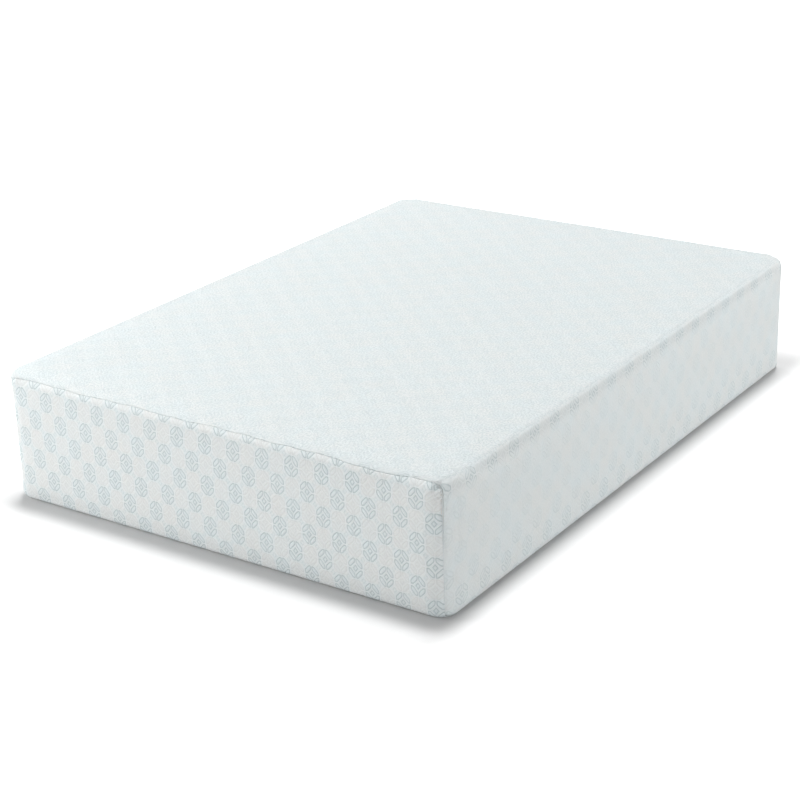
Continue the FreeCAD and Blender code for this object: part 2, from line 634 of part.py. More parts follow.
zip_tape("UpperZipTape", "upper_zip_tape", "+")
zip_tape("LowerZipTape", "lower_zip_tape", "-")
zip_coil("UpperZipCoil", "upper_zip_coil", "+")
zip_coil("LowerZipCoil", "lower_zip_coil", "-")
bottom_stop()
top_stops()
zip_slider()
zip_pull()


# ---------------------------------------------------------------- check and export

doc.recompute()
for item in doc.Objects:
    if "Invalid" in item.State or "Error" in item.State:
        raise RuntimeError("%s did not compute: %s" % (item.Name, item.State))
for item in nodes:
    if item.Shape.isNull() or not item.Shape.isValid() or not item.Shape.Solids:
        raise RuntimeError("%s has no sound solid" % item.Label)

os.makedirs("parts", exist_ok=True)
for item in nodes:
    item.Shape.exportStep("parts/%s.step" % item.Label)
    print("%s: %d solid, %.0f mm3" % (item.Label, len(item.Shape.Solids), item.Shape.Volume))
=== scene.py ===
"""Looks of a memory foam mattress: knit cover, sewn seams, zip, barrier sock and foams."""

import math

import bpy
import numpy as np
from mathutils import Matrix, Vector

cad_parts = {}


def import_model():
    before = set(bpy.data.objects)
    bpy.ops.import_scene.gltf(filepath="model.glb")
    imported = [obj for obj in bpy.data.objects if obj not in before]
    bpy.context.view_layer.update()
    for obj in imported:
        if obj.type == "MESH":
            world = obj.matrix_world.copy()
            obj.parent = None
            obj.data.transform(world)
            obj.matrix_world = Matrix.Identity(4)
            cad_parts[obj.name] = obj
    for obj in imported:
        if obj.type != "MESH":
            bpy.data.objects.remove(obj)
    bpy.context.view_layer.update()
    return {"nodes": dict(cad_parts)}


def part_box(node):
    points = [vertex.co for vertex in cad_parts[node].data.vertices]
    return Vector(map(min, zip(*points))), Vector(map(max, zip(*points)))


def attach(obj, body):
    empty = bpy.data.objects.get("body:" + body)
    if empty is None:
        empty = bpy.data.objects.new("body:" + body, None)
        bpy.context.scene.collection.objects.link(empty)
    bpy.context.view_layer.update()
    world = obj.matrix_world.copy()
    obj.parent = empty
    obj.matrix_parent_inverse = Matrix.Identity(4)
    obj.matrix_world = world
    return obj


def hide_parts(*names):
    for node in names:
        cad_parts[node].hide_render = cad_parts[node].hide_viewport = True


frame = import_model()

# ------------------------------------------------------------------ sizes, in metres

_, COVER_HIGH = (np.array(corner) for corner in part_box("cover_wrap_panel"))
FOOT_LOW, FOOT_HIGH = (np.array(corner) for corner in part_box("foot_end_panel"))
HALF_WIDTH = COVER_HIGH[0]
HALF_LENGTH = -FOOT_LOW[1]
TOP = COVER_HIGH[2]
PLAN_RADIUS = 0.050
TOP_RADIUS = 0.032
SIDE_ROLL = 0.014
CORNER_GROWTH = 0.016
BOTTOM_RADIUS = 0.016
COVER_WALL = 0.0022
TURN_UNDER = HALF_LENGTH + FOOT_HIGH[1]
SIDE_INSET = 0.014
TOP_INSET = 0.010
OPENING_RADIUS = 0.024
SEAM_GAP = 0.003
SEAM_MEET = 0.0015
TOP_OPENING = 0.0003
ZIP_LEVEL = 0.060
SLOT_HALF = 0.0088
SLOT_END = 0.6278
MOTIF_WIDE = 0.044
MOTIF_TALL = 0.0555
WRAP_MOTIF_STRETCH = 1.11
WRAP_MOTIF_SHIFT = (0.015, 0.0127)
FOOT_SEED, HEAD_SEED = 5, 9
SOFT_ROLL = 0.0262
SOFT_CORNER_GROWTH = 0.012
SOCK_WALL = 0.0009
UNDERSIDE_WALL = 0.0018
TAPE_WALL = 0.0004


# ------------------------------------------------------------------ form of the mattress

def block_distance(points, low, high, plan_radius, top_radii, bottom_radius):
    """Distance from a rounded block, negative inside.

    In plan it is a rectangle with rounded corners: the length of the part of the point past the
    shrunk rectangle, less the radius. That distance and the height past the upper or lower face
    are combined in the same way with the radius of the roll. The upper roll has one radius along
    the sides and one along the ends, shared in the corners by the two parts past the rectangle,
    and it grows in the head's corners by the third of the radii.
    """
    middle = (low + high) / 2
    half = (high - low) / 2
    over = np.abs(points[..., :2] - middle[:2]) - (half[:2] - plan_radius)
    past = np.maximum(over, 0)
    plan = np.hypot(past[..., 0], past[..., 1]) + np.minimum(over.max(-1), 0) - plan_radius
    lean = past[..., 1] / np.maximum(past.sum(-1), 1e-9)
    side_radius, end_radius, corner_growth = top_radii
    upper_roll = side_radius + (end_radius - side_radius) * lean
    upper_roll = upper_roll + np.where(points[..., 1] > 0, corner_growth, 0) * 4 * lean * (1 - lean)
    upper = points[..., 2] > middle[2]
    roll = np.where(upper, upper_roll, bottom_radius)
    rise = np.where(upper, points[..., 2] - high[2], low[2] - points[..., 2])
    side, lift = plan + roll, rise + roll
    outside = np.hypot(np.maximum(side, 0), np.maximum(lift, 0))
    return outside + np.minimum(np.maximum(side, lift), 0) - roll


def outward(points, *block):
    """Unit normals of the rounded block: the slope of its distance, from central differences."""
    step = 2e-5
    slope = np.empty_like(points)
    for axis in range(3):
        shift = np.zeros(3)
        shift[axis] = step
        slope[..., axis] = (block_distance(points + shift, *block)
                            - block_distance(points - shift, *block))
    return slope / np.maximum(np.linalg.norm(slope, axis=-1, keepdims=True), 1e-12)


def settle(points, offset, *block):
    """Moves points along the slope of the distance until they lie offset from the block."""
    for _ in range(6):
        gap = block_distance(points, *block) - offset
        points = points - outward(points, *block) * gap[..., None]
    return points


def onto_end(points, *block):
    """Slides points along the mattress until they lie on the rounded block."""
    for _ in range(10):
        slope = outward(points, *block)[..., 1]
        steep = np.where(np.abs(slope) > 0.2, slope, 0.2 * np.sign(points[..., 1]))
        points = points - np.stack([0 * slope, block_distance(points, *block) / steep, 0 * slope], -1)
    return points


COVER_BLOCK = (np.array([-HALF_WIDTH, -HALF_LENGTH, 0.0]), np.array([HALF_WIDTH, HALF_LENGTH, TOP]),
               PLAN_RADIUS, (SIDE_ROLL, TOP_RADIUS, CORNER_GROWTH), BOTTOM_RADIUS)


def waves(along, seed, lengths, heights):
    """A smooth uneven line: a sum of sine waves of the given lengths with seeded phases."""
    phase = np.random.default_rng(seed).uniform(0, 2 * math.pi, len(lengths))
    total = np.zeros_like(along)
    for length, height, start in zip(lengths, heights, phase):
        total = total + height * np.sin(2 * math.pi * along / length + start)
    return total


def smooth_rise(value):
    """0 at 0 and 1 at 1, level at both ends."""
    return value * value * (3 - 2 * value)


def off_floor(level):
    """0 up to 8 mm above the floor and 1 from 28 mm, so that nothing moves where the cover rests."""
    return np.clip((level - 0.008) / 0.02, 0, 1)


def runs(*parts):
    """Even steps over stretches that meet: each is given by its start, its end and its count."""
    steps = [np.linspace(*part)[:-1] for part in parts[:-1]]
    return np.concatenate(steps + [np.linspace(*parts[-1])])


def seam_sag(across):
    """How far the seam over an end panel dips: one soft dip near the right and small waves."""
    dip = -0.0045 * np.exp(-((across - 0.47) / 0.11) ** 2)
    hold = np.clip((0.632 - np.abs(across)) / 0.05, 0, 1)
    return (dip + waves(across, 3, (0.31, 0.117, 0.071), (0.0011, 0.0007, 0.0004))) * hold


def seam_opening(level):
    """How far each edge of an upright seam stands back from its middle: 1.8 mm near the top."""
    high = np.clip((level - 0.17) / 0.13, 0, 1)
    return 0.0018 * smooth_rise(high)


def puckers(along, distance, upright, level, seed):
    """Gathers beside a seam: waves along it that fade with distance from it.

    The fold at the seam is 0.4 mm deep along the top. Down the upright corners it is 3.5 mm deep
    near the top and half of that near the floor. A low cushion stands beside it.
    """
    height = waves(along, seed, (0.0235, 0.0162, 0.041), (0.00030, 0.00020, 0.00032))
    uneven = 0.55 + 0.45 * np.sin(2 * math.pi * along / 0.283 + seed)
    high = np.clip(level / TOP, 0, 1)
    depth = 0.0004 + 0.0031 * upright * (0.45 + 0.55 * high)
    width = 0.0020 + 0.0044 * upright * high
    groove = -depth * np.exp(-(distance / width) ** 2)
    cushion = 0.0009 * np.exp(-((distance - 0.012) / 0.009) ** 2)
    off_seam = 1 - np.exp(-(distance / 0.004) ** 2)
    return groove + cushion + height * uneven * off_seam * np.exp(-distance / 0.016)


def corner_gathers(points):
    """Small folds that fan out across the seam at each upper corner of an end.

    They point at a place 60 mm in from both edges, 10 degrees apart, and fade with distance from
    the seam, along the mattress, and with the angle from the diagonal of the corner.
    """
    edge = np.array([HALF_WIDTH - SIDE_INSET, TOP - TOP_INSET])
    flat = np.stack([np.abs(points[..., 0]), points[..., 2]], -1)
    past = flat - (edge - OPENING_RADIUS)
    off_seam = np.abs(np.hypot(*np.moveaxis(np.maximum(past, 0), -1, 0)) + np.minimum(past.max(-1), 0)
                      - OPENING_RADIUS)
    inner = flat - (edge - 0.060)
    angle = np.degrees(np.arctan2(inner[..., 1], inner[..., 0]))
    fan = 0.7 + np.sin(angle * 2 * math.pi / 10 + 0.8) + 0.4 * np.sin(angle * 2 * math.pi / 17)
    back = np.maximum(HALF_LENGTH - 0.016 - np.abs(points[..., 1]), 0)
    fade = np.exp(-off_seam / 0.020) * np.exp(-back / 0.010)
    start = 1 - np.exp(-(off_seam / 0.002) ** 2)
    return 0.0032 * fan * fade * start * np.exp(-((angle - 38) / 26) ** 2)


# ------------------------------------------------------------------ meshes

def grid_quads(rows, columns):
    """The four corners of every cell of a grid of rows by columns points."""
    index = np.arange(rows * columns).reshape(rows, columns)
    return np.stack([index[:-1, :-1], index[:-1, 1:], index[1:, 1:], index[1:, :-1]], -1).reshape(-1, 4)


def make_piece(name, points, quads, material, uv=None, *, stands_for=()):
    """A smooth mesh from arrays of points, quads and texture positions, riding on the mattress."""
    mesh = bpy.data.meshes.new(name)
    mesh.vertices.add(len(points))
    mesh.vertices.foreach_set("co", np.asarray(points, np.float32).ravel())
    mesh.loops.add(quads.size)
    mesh.loops.foreach_set("vertex_index", quads.astype(np.int32).ravel())
    mesh.polygons.add(len(quads))
    mesh.polygons.foreach_set("loop_start", np.arange(0, quads.size, quads.shape[1], dtype=np.int32))
    mesh.polygons.foreach_set("use_smooth", np.ones(len(quads), bool))
    if uv is not None:
        layer = mesh.uv_layers.new(name="Fabric")
        layer.uv.foreach_set("vector", np.asarray(uv, np.float32)[quads.ravel()].ravel())
    mesh.update(calc_edges=True)
    mesh.validate()
    mesh.materials.append(material)
    piece = bpy.data.objects.new(name, mesh)
    bpy.context.scene.collection.objects.link(piece)
    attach(piece, "mattress")
    if stands_for:
        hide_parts(*stands_for)
    return piece


def add_wall(piece, thickness):
    """Gives a surface its thickness, on the side that its faces turn away from."""
    wall = piece.modifiers.new("Wall", "SOLIDIFY")
    wall.thickness = thickness
    wall.offset = -1


def spread(low, high, count, power=1.0):
    """Even steps from low to high, drawn together at both ends when the power is over 1."""
    even = np.linspace(-1, 1, count)
    return low + (high - low) * (np.sign(even) * (1 - (1 - np.abs(even)) ** power) + 1) / 2


# ------------------------------------------------------------------ cloth simulation

CLOTH_FRAMES = 20
CLOTH_STEP = 2
CLOTH_SLACK = 0.004


def net_of(count, step):
    """Every step-th index with both ends, and a matrix that spreads values from those to all."""
    picks = np.unique(np.append(np.arange(0, count, step), count - 1))
    spots = np.arange(count)
    upper = np.clip(np.searchsorted(picks, spots, side="right"), 1, len(picks) - 1)
    share = (spots - picks[upper - 1]) / (picks[upper] - picks[upper - 1])
    carry = np.zeros((count, len(picks)))
    carry[spots, upper - 1] = 1 - share
    carry[spots, upper] = share
    inner = (carry[:-2] + 2 * carry[1:-1] + carry[2:]) / 4
    return picks, np.concatenate([carry[:1], inner, carry[-1:]])


def swell(points, held, outward_quads, cap):
    """How a stretched cover panel swells and gathers over the foam, from a cloth simulation.

    A coarse net of the panel's own grid is held where the panel is sewn, cut slack too large, and
    pushed outwards without gravity for 20 frames. Each point's movement is eased to stay under the
    cap, and spread back to the fine grid.
    """
    rows, row_carry = net_of(points.shape[0], CLOTH_STEP)
    columns, column_carry = net_of(points.shape[1], CLOTH_STEP)
    net = points[np.ix_(rows, columns)]
    quads = grid_quads(len(rows), len(columns))
    mesh = bpy.data.meshes.new("cloth_net")
    quads = quads if outward_quads else quads[:, ::-1]
    mesh.from_pydata(net.reshape(-1, 3).tolist(), [], quads.tolist())
    piece = bpy.data.objects.new("cloth_net", mesh)
    scene = bpy.context.scene
    scene.collection.objects.link(piece)
    group = piece.vertex_groups.new(name="Sewn")
    group.add(np.flatnonzero(held[np.ix_(rows, columns)]).tolist(), 1.0, "REPLACE")
    cloth = piece.modifiers.new("Cloth", "CLOTH")
    cloth.settings.quality = 6
    cloth.settings.mass = 0.3
    cloth.settings.tension_stiffness = cloth.settings.compression_stiffness = 40
    cloth.settings.shear_stiffness = 20
    cloth.settings.bending_stiffness = 2.0
    cloth.settings.use_pressure = True
    cloth.settings.uniform_pressure_force = 4
    cloth.settings.shrink_min = -CLOTH_SLACK
    cloth.settings.vertex_group_mass = "Sewn"
    cloth.settings.effector_weights.gravity = 0
    cloth.collision_settings.use_collision = False
    cloth.collision_settings.use_self_collision = False
    cloth.point_cache.frame_start, cloth.point_cache.frame_end = 1, CLOTH_FRAMES
    for step_frame in range(1, CLOTH_FRAMES + 1):
        scene.frame_set(step_frame)
    swollen = piece.evaluated_get(bpy.context.evaluated_depsgraph_get()).to_mesh()
    after = np.empty(len(swollen.vertices) * 3, np.float32)
    swollen.vertices.foreach_get("co", after)
    moved = after.reshape(net.shape).astype(float) - net
    bpy.data.objects.remove(piece)
    bpy.data.meshes.remove(mesh)
    scene.frame_set(1)
    moved = np.einsum("ri,ijk,cj->rck", row_carry, moved, column_carry)
    size = np.maximum(np.linalg.norm(moved, axis=-1, keepdims=True), 1e-9)
    return moved * cap * np.tanh(size / cap) / size


# ------------------------------------------------------------------ materials

class Finish:
    """A node material, with short calls for the nodes it is painted from."""

    def __init__(self, name, roughness, specular, sheen=0.0):
        self.material = bpy.data.materials.new(name)
        self.material.use_nodes = True
        self.tree = self.material.node_tree
        self.shader = self.tree.nodes["Principled BSDF"]
        self.shader.inputs["Roughness"].default_value = roughness
        self.shader.inputs["Specular IOR Level"].default_value = specular
        self.shader.inputs["Sheen Weight"].default_value = sheen
        self.shader.inputs["Sheen Roughness"].default_value = 0.5

    def node(self, kind, **inputs):
        made = self.tree.nodes.new(kind)
        for key, value in inputs.items():
            self.feed(made.inputs[key.replace("_", " ")], value)
        return made

    def feed(self, socket, value):
        if isinstance(value, bpy.types.NodeSocket):
            self.tree.links.new(value, socket)
        else:
            socket.default_value = value

    def math(self, operation, first, second=0.0, third=0.0):
        made = self.tree.nodes.new("ShaderNodeMath")
        made.operation = operation
        for socket, value in zip(made.inputs, (first, second, third)):
            self.feed(socket, value)
        return made.outputs[0]

    def add(self, first, second):
        return self.math("ADD", first, second)

    def less(self, first, second):
        return self.math("SUBTRACT", first, second)

    def times(self, first, second):
        return self.math("MULTIPLY", first, second)

    def over(self, first, second):
        return self.math("DIVIDE", first, second)

    def most(self, first, second):
        return self.math("MAXIMUM", first, second)

    def wave(self, value, length):
        """A sine wave that repeats after the length."""
        return self.math("SINE", self.times(value, 2 * math.pi / length))

    def soft_step(self, value, start, end):
        """0 before start and 1 after end, with a smooth rise between them."""
        made = self.node("ShaderNodeMapRange", Value=value)
        made.interpolation_type = "SMOOTHSTEP"
        made.inputs["From Min"].default_value = start
        made.inputs["From Max"].default_value = end
        return made.outputs[0]

    def bell(self, value, middle, reach):
        """1 at the middle, falling smoothly to 0 at the reach on either side."""
        away = self.math("ABSOLUTE", self.less(value, middle))
        return self.less(1.0, self.soft_step(away, 0.0, reach))

    def blend(self, share, first, second):
        made = self.tree.nodes.new("ShaderNodeMix")
        made.data_type = "RGBA"
        self.feed(made.inputs[0], share)
        for socket, value in zip((made.inputs[6], made.inputs[7]), (first, second)):
            self.feed(socket, (*value, 1.0) if isinstance(value, tuple) and len(value) == 3 else value)
        return made.outputs[2]

    def noise(self, place, scale, detail=2.0, roughness=0.5):
        return self.node("ShaderNodeTexNoise", Vector=place, Scale=scale, Detail=detail,
                         Roughness=roughness).outputs[0]

    def cells(self, place, scale):
        return self.node("ShaderNodeTexVoronoi", Vector=place, Scale=scale).outputs["Distance"]

    def place(self):
        return self.node("ShaderNodeTexCoord").outputs["Object"]

    def place_parts(self):
        """The position along X, Y and Z."""
        return self.node("ShaderNodeSeparateXYZ", Vector=self.place()).outputs

    def fabric_place(self):
        """The fabric's own directions, along its rows and across them, and the position itself."""
        made = self.tree.nodes.new("ShaderNodeUVMap")
        made.uv_map = "Fabric"
        parts = self.node("ShaderNodeSeparateXYZ", Vector=made.outputs[0])
        return parts.outputs[0], parts.outputs[1], made.outputs[0]

    def relief(self, height, strength=1.0):
        """Height is in metres."""
        bump = self.node("ShaderNodeBump", Height=height, Strength=strength, Distance=1.0)
        self.feed(self.shader.inputs["Normal"], bump.outputs[0])

    def colour(self, value):
        self.feed(self.shader.inputs["Base Color"], value)


KNIT_COOL = (0.782, 0.842, 0.852)
KNIT_WARM = (0.800, 0.833, 0.828)
# The darker colour of the speckle, which also carries the painted shade on the roll.
KNIT_SPECKLE_AND_SHADE = (0.640, 0.700, 0.712)
KNIT_RIB = (0.860, 0.885, 0.885)
KNIT_TEAL = (0.715, 0.795, 0.810)
KNIT_BEIGE = (0.815, 0.795, 0.775)
LINE_TEAL = (0.400, 0.480, 0.495)
LINE_BEIGE = (0.590, 0.580, 0.560)


def knit_finish(name, shares, tint_share, grains, roll_painted_shade, relief_share):
    """White jacquard knit: a lattice of four-leaf medallions, cool and warm in turn.

    In one quarter of a medallion, with x and y in millimetres from its middle, the leaf is where
    the largest of |x - 10.5| - 9, |y - 14.5| - 12 and |0.74 x + 0.67 y - 17.3| - 5.5 is below 0,
    eased at its corners. Its outline is a line just inside that edge, and a pale rib stands just
    outside it. The middle diamond's outline is near x / 7.6 + y / 10 = 0.75, and small diamonds
    fill the corners between four medallions. The shares say how much of the yarn's colour shows
    on the upright faces, on the roll of the upper edge, and on the top. The grains are the
    strength of the speckle on the upright faces and on the top. The roll's painted shade darkens
    the ground in a band round the roll of the upper edge, for the shade under its crest.
    """
    finish = Finish(name, roughness=0.93, specular=0.25, sheen=0.12)
    add, less, times, most = finish.add, finish.less, finish.times, finish.most
    run, rise, cloth = finish.fabric_place()
    column, row = finish.over(run, MOTIF_WIDE), finish.over(rise, MOTIF_TALL)
    column_whole, row_whole = finish.math("ROUND", column), finish.math("ROUND", row)
    x = times(finish.math("ABSOLUTE", less(column, column_whole)), 44.0)
    y = times(finish.math("ABSOLUTE", less(row, row_whole)), 56.0)
    parity = finish.math("FLOORED_MODULO", add(column_whole, row_whole), 2.0)
    slant = add(times(x, 0.74), times(y, 0.6725))

    def beyond(value, middle, half):
        return less(finish.math("ABSOLUTE", less(value, middle)), half)

    square = finish.math("SMOOTH_MAX", beyond(x, 10.5, 9.0), beyond(y, 14.5, 12.0), 4.0)
    leaf = finish.math("SMOOTH_MAX", square, beyond(slant, 17.3, 5.5), 4.0)
    leaf_line = finish.bell(leaf, -0.6, 2.1)
    leaf_field = finish.soft_step(leaf, -1.6, -4.0)
    gem = add(finish.over(x, 7.6), finish.over(y, 10.0))
    gem_line = finish.bell(gem, 0.76, 0.40)
    gem_field = finish.soft_step(gem, 0.45, 0.15)
    corner = add(finish.over(less(22.0, x), 6.5), finish.over(less(28.0, y), 8.5))
    corner_line = times(finish.bell(corner, 0.8, 0.45), 0.35)
    rib = most(finish.bell(leaf, 1.9, 1.7), finish.bell(corner, 1.45, 0.35))
    cool = less(1.0, parity)
    depth_of_line = add(times(cool, 0.62), 0.38)
    line = most(times(most(leaf_line, gem_line), depth_of_line), corner_line)

    height_up = finish.place_parts()[2]
    on_roll = finish.bell(height_up, 0.330, 0.026)
    on_top = finish.soft_step(height_up, 0.343, 0.353)
    low = finish.soft_step(height_up, 0.14, 0.03)
    side_share, roll_share, top_share = shares
    # The yarn's lines show most on the roll of the upper edge: partly the knit stretched over the roll,
    # partly painted shade of its relief. Near the floor they show a little more.
    shown = add(side_share, times(on_roll, roll_share - side_share))
    shown = add(shown, times(low, (roll_share - side_share) * 0.6))
    shown = add(times(shown, less(1.0, on_top)), times(on_top, top_share))
    shown = times(shown, add(0.75, times(finish.noise(cloth, 5.0, 2.0), 0.5)))

    speckle = finish.noise(cloth, 210.0, 2.0, 0.6)
    grain = add(grains[0], times(on_top, grains[1] - grains[0]))
    mottle = finish.noise(cloth, 9.0, 3.0, 0.55)
    ground = finish.blend(finish.soft_step(mottle, 0.35, 0.65), KNIT_COOL, KNIT_WARM)
    speckle_and_painted_shade = times(finish.soft_step(speckle, 0.40, 0.60), grain)
    # Painted shade: in a band round the roll of the upper edge the ground darkens towards the speckle
    # colour, for the shade under the crest.
    speckle_and_painted_shade = most(speckle_and_painted_shade, times(on_roll, roll_painted_shade))
    ground = finish.blend(speckle_and_painted_shade, ground, KNIT_SPECKLE_AND_SHADE)
    inside = finish.soft_step(most(finish.over(x, 20.0), finish.over(y, 27.0)), 1.0, 0.85)
    tint = finish.blend(cool, KNIT_BEIGE, KNIT_TEAL)
    tinted = finish.blend(times(inside, tint_share), ground, tint)
    ribbed = finish.blend(times(rib, times(shown, 0.7)), tinted, KNIT_RIB)
    yarn = finish.blend(cool, LINE_BEIGE, LINE_TEAL)
    finish.colour(finish.blend(times(line, shown), ribbed, yarn))

    loops = times(times(finish.wave(run, 0.0016), finish.wave(rise, 0.0012)), 0.00006)
    height = add(times(most(leaf_field, gem_field), 0.00035), times(line, -0.00055))
    height = add(add(height, times(rib, 0.00035)), loops)
    finish.relief(add(height, times(times(speckle, grain), 0.0009)), relief_share)
    return finish.material


def plain_cloth_finish():
    """Plain weave: two sets of threads, one over the other in turn."""
    finish = Finish("underside_plain_cloth", roughness=0.95, sheen=0.1, specular=0.2)
    run, rise, cloth = finish.fabric_place()
    warp = finish.wave(run, 0.0018)
    weft = finish.wave(rise, 0.0018)
    weave = finish.times(warp, weft)
    mottle = finish.noise(cloth, 24.0, 3.0)
    colour = finish.blend(finish.soft_step(weave, -0.6, 0.8), (0.74, 0.76, 0.765), (0.84, 0.855, 0.86))
    finish.colour(finish.blend(finish.times(mottle, 0.25), colour, (0.90, 0.90, 0.89)))
    finish.relief(finish.times(weave, 0.00012))
    return finish.material


def barrier_finish():
    """Fine rib knit: ribs up the sock, with small loops along each rib."""
    finish = Finish("barrier_rib_knit", roughness=0.95, sheen=0.2, specular=0.2)
    along, across, up = finish.place_parts()
    around = finish.add(along, up)
    rib = finish.wave(around, 0.0034)
    loop = finish.wave(across, 0.0016)
    colour = finish.blend(finish.soft_step(rib, -0.7, 0.7), (0.78, 0.76, 0.70), (0.93, 0.92, 0.88))
    mottle = finish.times(finish.noise(finish.place(), 60.0, 3.0), 0.3)
    finish.colour(finish.blend(mottle, colour, (0.86, 0.84, 0.79)))
    finish.relief(finish.add(finish.times(rib, 0.0003), finish.times(loop, 0.00008)))
    return finish.material


def foam_finish(name, pale, deep, cell, relief):
    """Open-celled foam: rounded pits between thin walls, over a soft mottle."""
    finish = Finish(name, roughness=0.97, sheen=0.05, specular=0.15)
    place = finish.place()
    pit = finish.cells(place, 1.0 / cell)
    wall = finish.soft_step(pit, 0.15, 0.6)
    colour = finish.blend(wall, deep, pale)
    finish.colour(finish.blend(finish.times(finish.noise(place, 9.0, 4.0), 0.35), colour, pale))
    finish.relief(finish.times(wall, relief))
    return finish.material


def thread_finish():
    """Twisted polyester thread: slanting plies over a slight mottle."""
    finish = Finish("seam_polyester_thread", roughness=0.8, sheen=0.1, specular=0.3)
    along, across, up = finish.place_parts()
    slant = finish.add(finish.add(along, across), up)
    ply = finish.wave(slant, 0.0013)
    finish.colour(finish.blend(finish.soft_step(ply, -0.8, 0.8), (0.66, 0.71, 0.73), (0.82, 0.86, 0.87)))
    finish.relief(finish.times(ply, 0.0001))
    return finish.material


def tape_finish():
    """Woven zip tape: a herringbone whose slant turns every 2.4 mm across the tape."""
    finish = Finish("zip_tape_herringbone", roughness=0.85, sheen=0.1, specular=0.25)
    along, _, up = finish.place_parts()
    side = finish.math("PINGPONG", up, 0.0024)
    twill = finish.wave(finish.add(along, side), 0.0011)
    finish.colour(finish.blend(finish.soft_step(twill, -0.6, 0.6), (0.74, 0.76, 0.77), (0.90, 0.91, 0.91)))
    finish.relief(finish.times(twill, 0.00008))
    return finish.material


def nylon_finish():
    """Translucent-looking white nylon wire, faintly cloudy."""
    finish = Finish("zip_coil_nylon", roughness=0.35, specular=0.5)
    cloud = finish.noise(finish.place(), 900.0, 2.0)
    finish.colour(finish.blend(cloud, (0.84, 0.86, 0.88), (0.93, 0.94, 0.95)))
    finish.relief(finish.times(cloud, 0.00003))
    return finish.material


def lacquer_finish():
    """White lacquer on cast zinc: a slight orange peel, and grey metal where it is worn."""
    finish = Finish("zip_white_lacquer", roughness=0.35, specular=0.5)
    place = finish.place()
    worn = finish.soft_step(finish.noise(place, 700.0, 4.0, 0.65), 0.66, 0.74)
    finish.colour(finish.blend(worn, (0.88, 0.88, 0.88), (0.52, 0.53, 0.55)))
    roughness = finish.add(finish.times(worn, 0.2), 0.3)
    finish.feed(finish.shader.inputs["Roughness"], roughness)
    finish.relief(finish.times(finish.noise(place, 2500.0, 2.0), 0.00002))
    return finish.material


KNIT = knit_finish("cover_knit_jacquard", (0.60, 0.60, 0.60), 0.30, (0.38, 0.38), 0.0, 1.0)
# The wrap's knit has painted shade on the roll of its upper edge.
WRAP_KNIT = knit_finish("cover_wrap_jacquard", (0.09, 0.55, 0.07), 0.11, (0.17, 0.95), 0.42, 0.9)
PLAIN_CLOTH = plain_cloth_finish()
BARRIER_KNIT = barrier_finish()
MEMORY_FOAM = foam_finish("memory_foam_cells", (0.88, 0.92, 0.82), (0.72, 0.78, 0.66), 0.0011, 0.0003)
COMFORT_FOAM = foam_finish("comfort_foam_cells", (0.94, 0.94, 0.90), (0.78, 0.78, 0.72), 0.0016, 0.0005)
SUPPORT_FOAM = foam_finish("support_foam_cells", (0.90, 0.92, 0.95), (0.72, 0.75, 0.80), 0.0021, 0.0006)
THREAD = thread_finish()
TAPE = tape_finish()
NYLON = nylon_finish()
LACQUER = lacquer_finish()


# ------------------------------------------------------------------ cover: the wrap

def wrap_profile():
    """Section across the mattress, from one turned-under edge to the other, with its arc lengths.

    Each half is a flat run under the mattress, a quarter turn of the bottom radius, the straight
    wall, a quarter turn of the top radius, and half of the flat top. The second result is the same
    parameter on the outline of the opening for an end panel: its wall and top lie inside by the
    insets, and its corner turns with the opening radius.
    """
    turn = np.linspace(0, math.pi / 2, 9)[1:-1]
    under_x = spread(HALF_WIDTH - TURN_UNDER, HALF_WIDTH - BOTTOM_RADIUS, 5)
    wall_z = spread(BOTTOM_RADIUS, TOP - SIDE_ROLL, 30)
    half_top = np.linspace(HALF_WIDTH - SIDE_ROLL, 0, 64)
    low_centre = np.array([HALF_WIDTH - BOTTOM_RADIUS, BOTTOM_RADIUS])
    top_centre = np.array([HALF_WIDTH - SIDE_ROLL, TOP - SIDE_ROLL])
    low_arc = low_centre + BOTTOM_RADIUS * np.stack([np.sin(turn), -np.cos(turn)], -1)
    top_arc = top_centre + SIDE_ROLL * np.stack([np.cos(turn), np.sin(turn)], -1)
    half = np.concatenate([np.stack([under_x, 0 * under_x], -1), low_arc,
                           np.stack([0 * wall_z + HALF_WIDTH, wall_z], -1), top_arc,
                           np.stack([half_top, 0 * half_top + TOP], -1)])
    open_centre = np.array([HALF_WIDTH - SIDE_INSET - OPENING_RADIUS, TOP - TOP_INSET - OPENING_RADIUS])
    open_arc = open_centre + OPENING_RADIUS * np.stack([np.cos(turn), np.sin(turn)], -1)
    wall_share = (wall_z - BOTTOM_RADIUS) / (TOP - SIDE_ROLL - BOTTOM_RADIUS)
    wall_open = BOTTOM_RADIUS + wall_share * (open_centre[1] - BOTTOM_RADIUS)
    top_open = half_top * open_centre[0] / (HALF_WIDTH - SIDE_ROLL)
    inner_low = np.stack([low_arc[:, 0] - SIDE_INSET * np.sin(turn) ** 2, low_arc[:, 1]], -1)
    opening = np.concatenate([np.stack([under_x, 0 * under_x], -1), inner_low,
                              np.stack([0 * wall_z + HALF_WIDTH - SIDE_INSET, wall_open], -1), open_arc,
                              np.stack([top_open, 0 * half_top + TOP - TOP_INSET], -1)])
    mirror = np.array([-1.0, 1.0])
    section = np.concatenate([half * mirror, half[::-1][1:]])
    opening = np.concatenate([opening * mirror, opening[::-1][1:]])
    steps = np.linalg.norm(np.diff(section, axis=0), axis=1)
    return section, opening, np.concatenate([[0], np.cumsum(steps)])


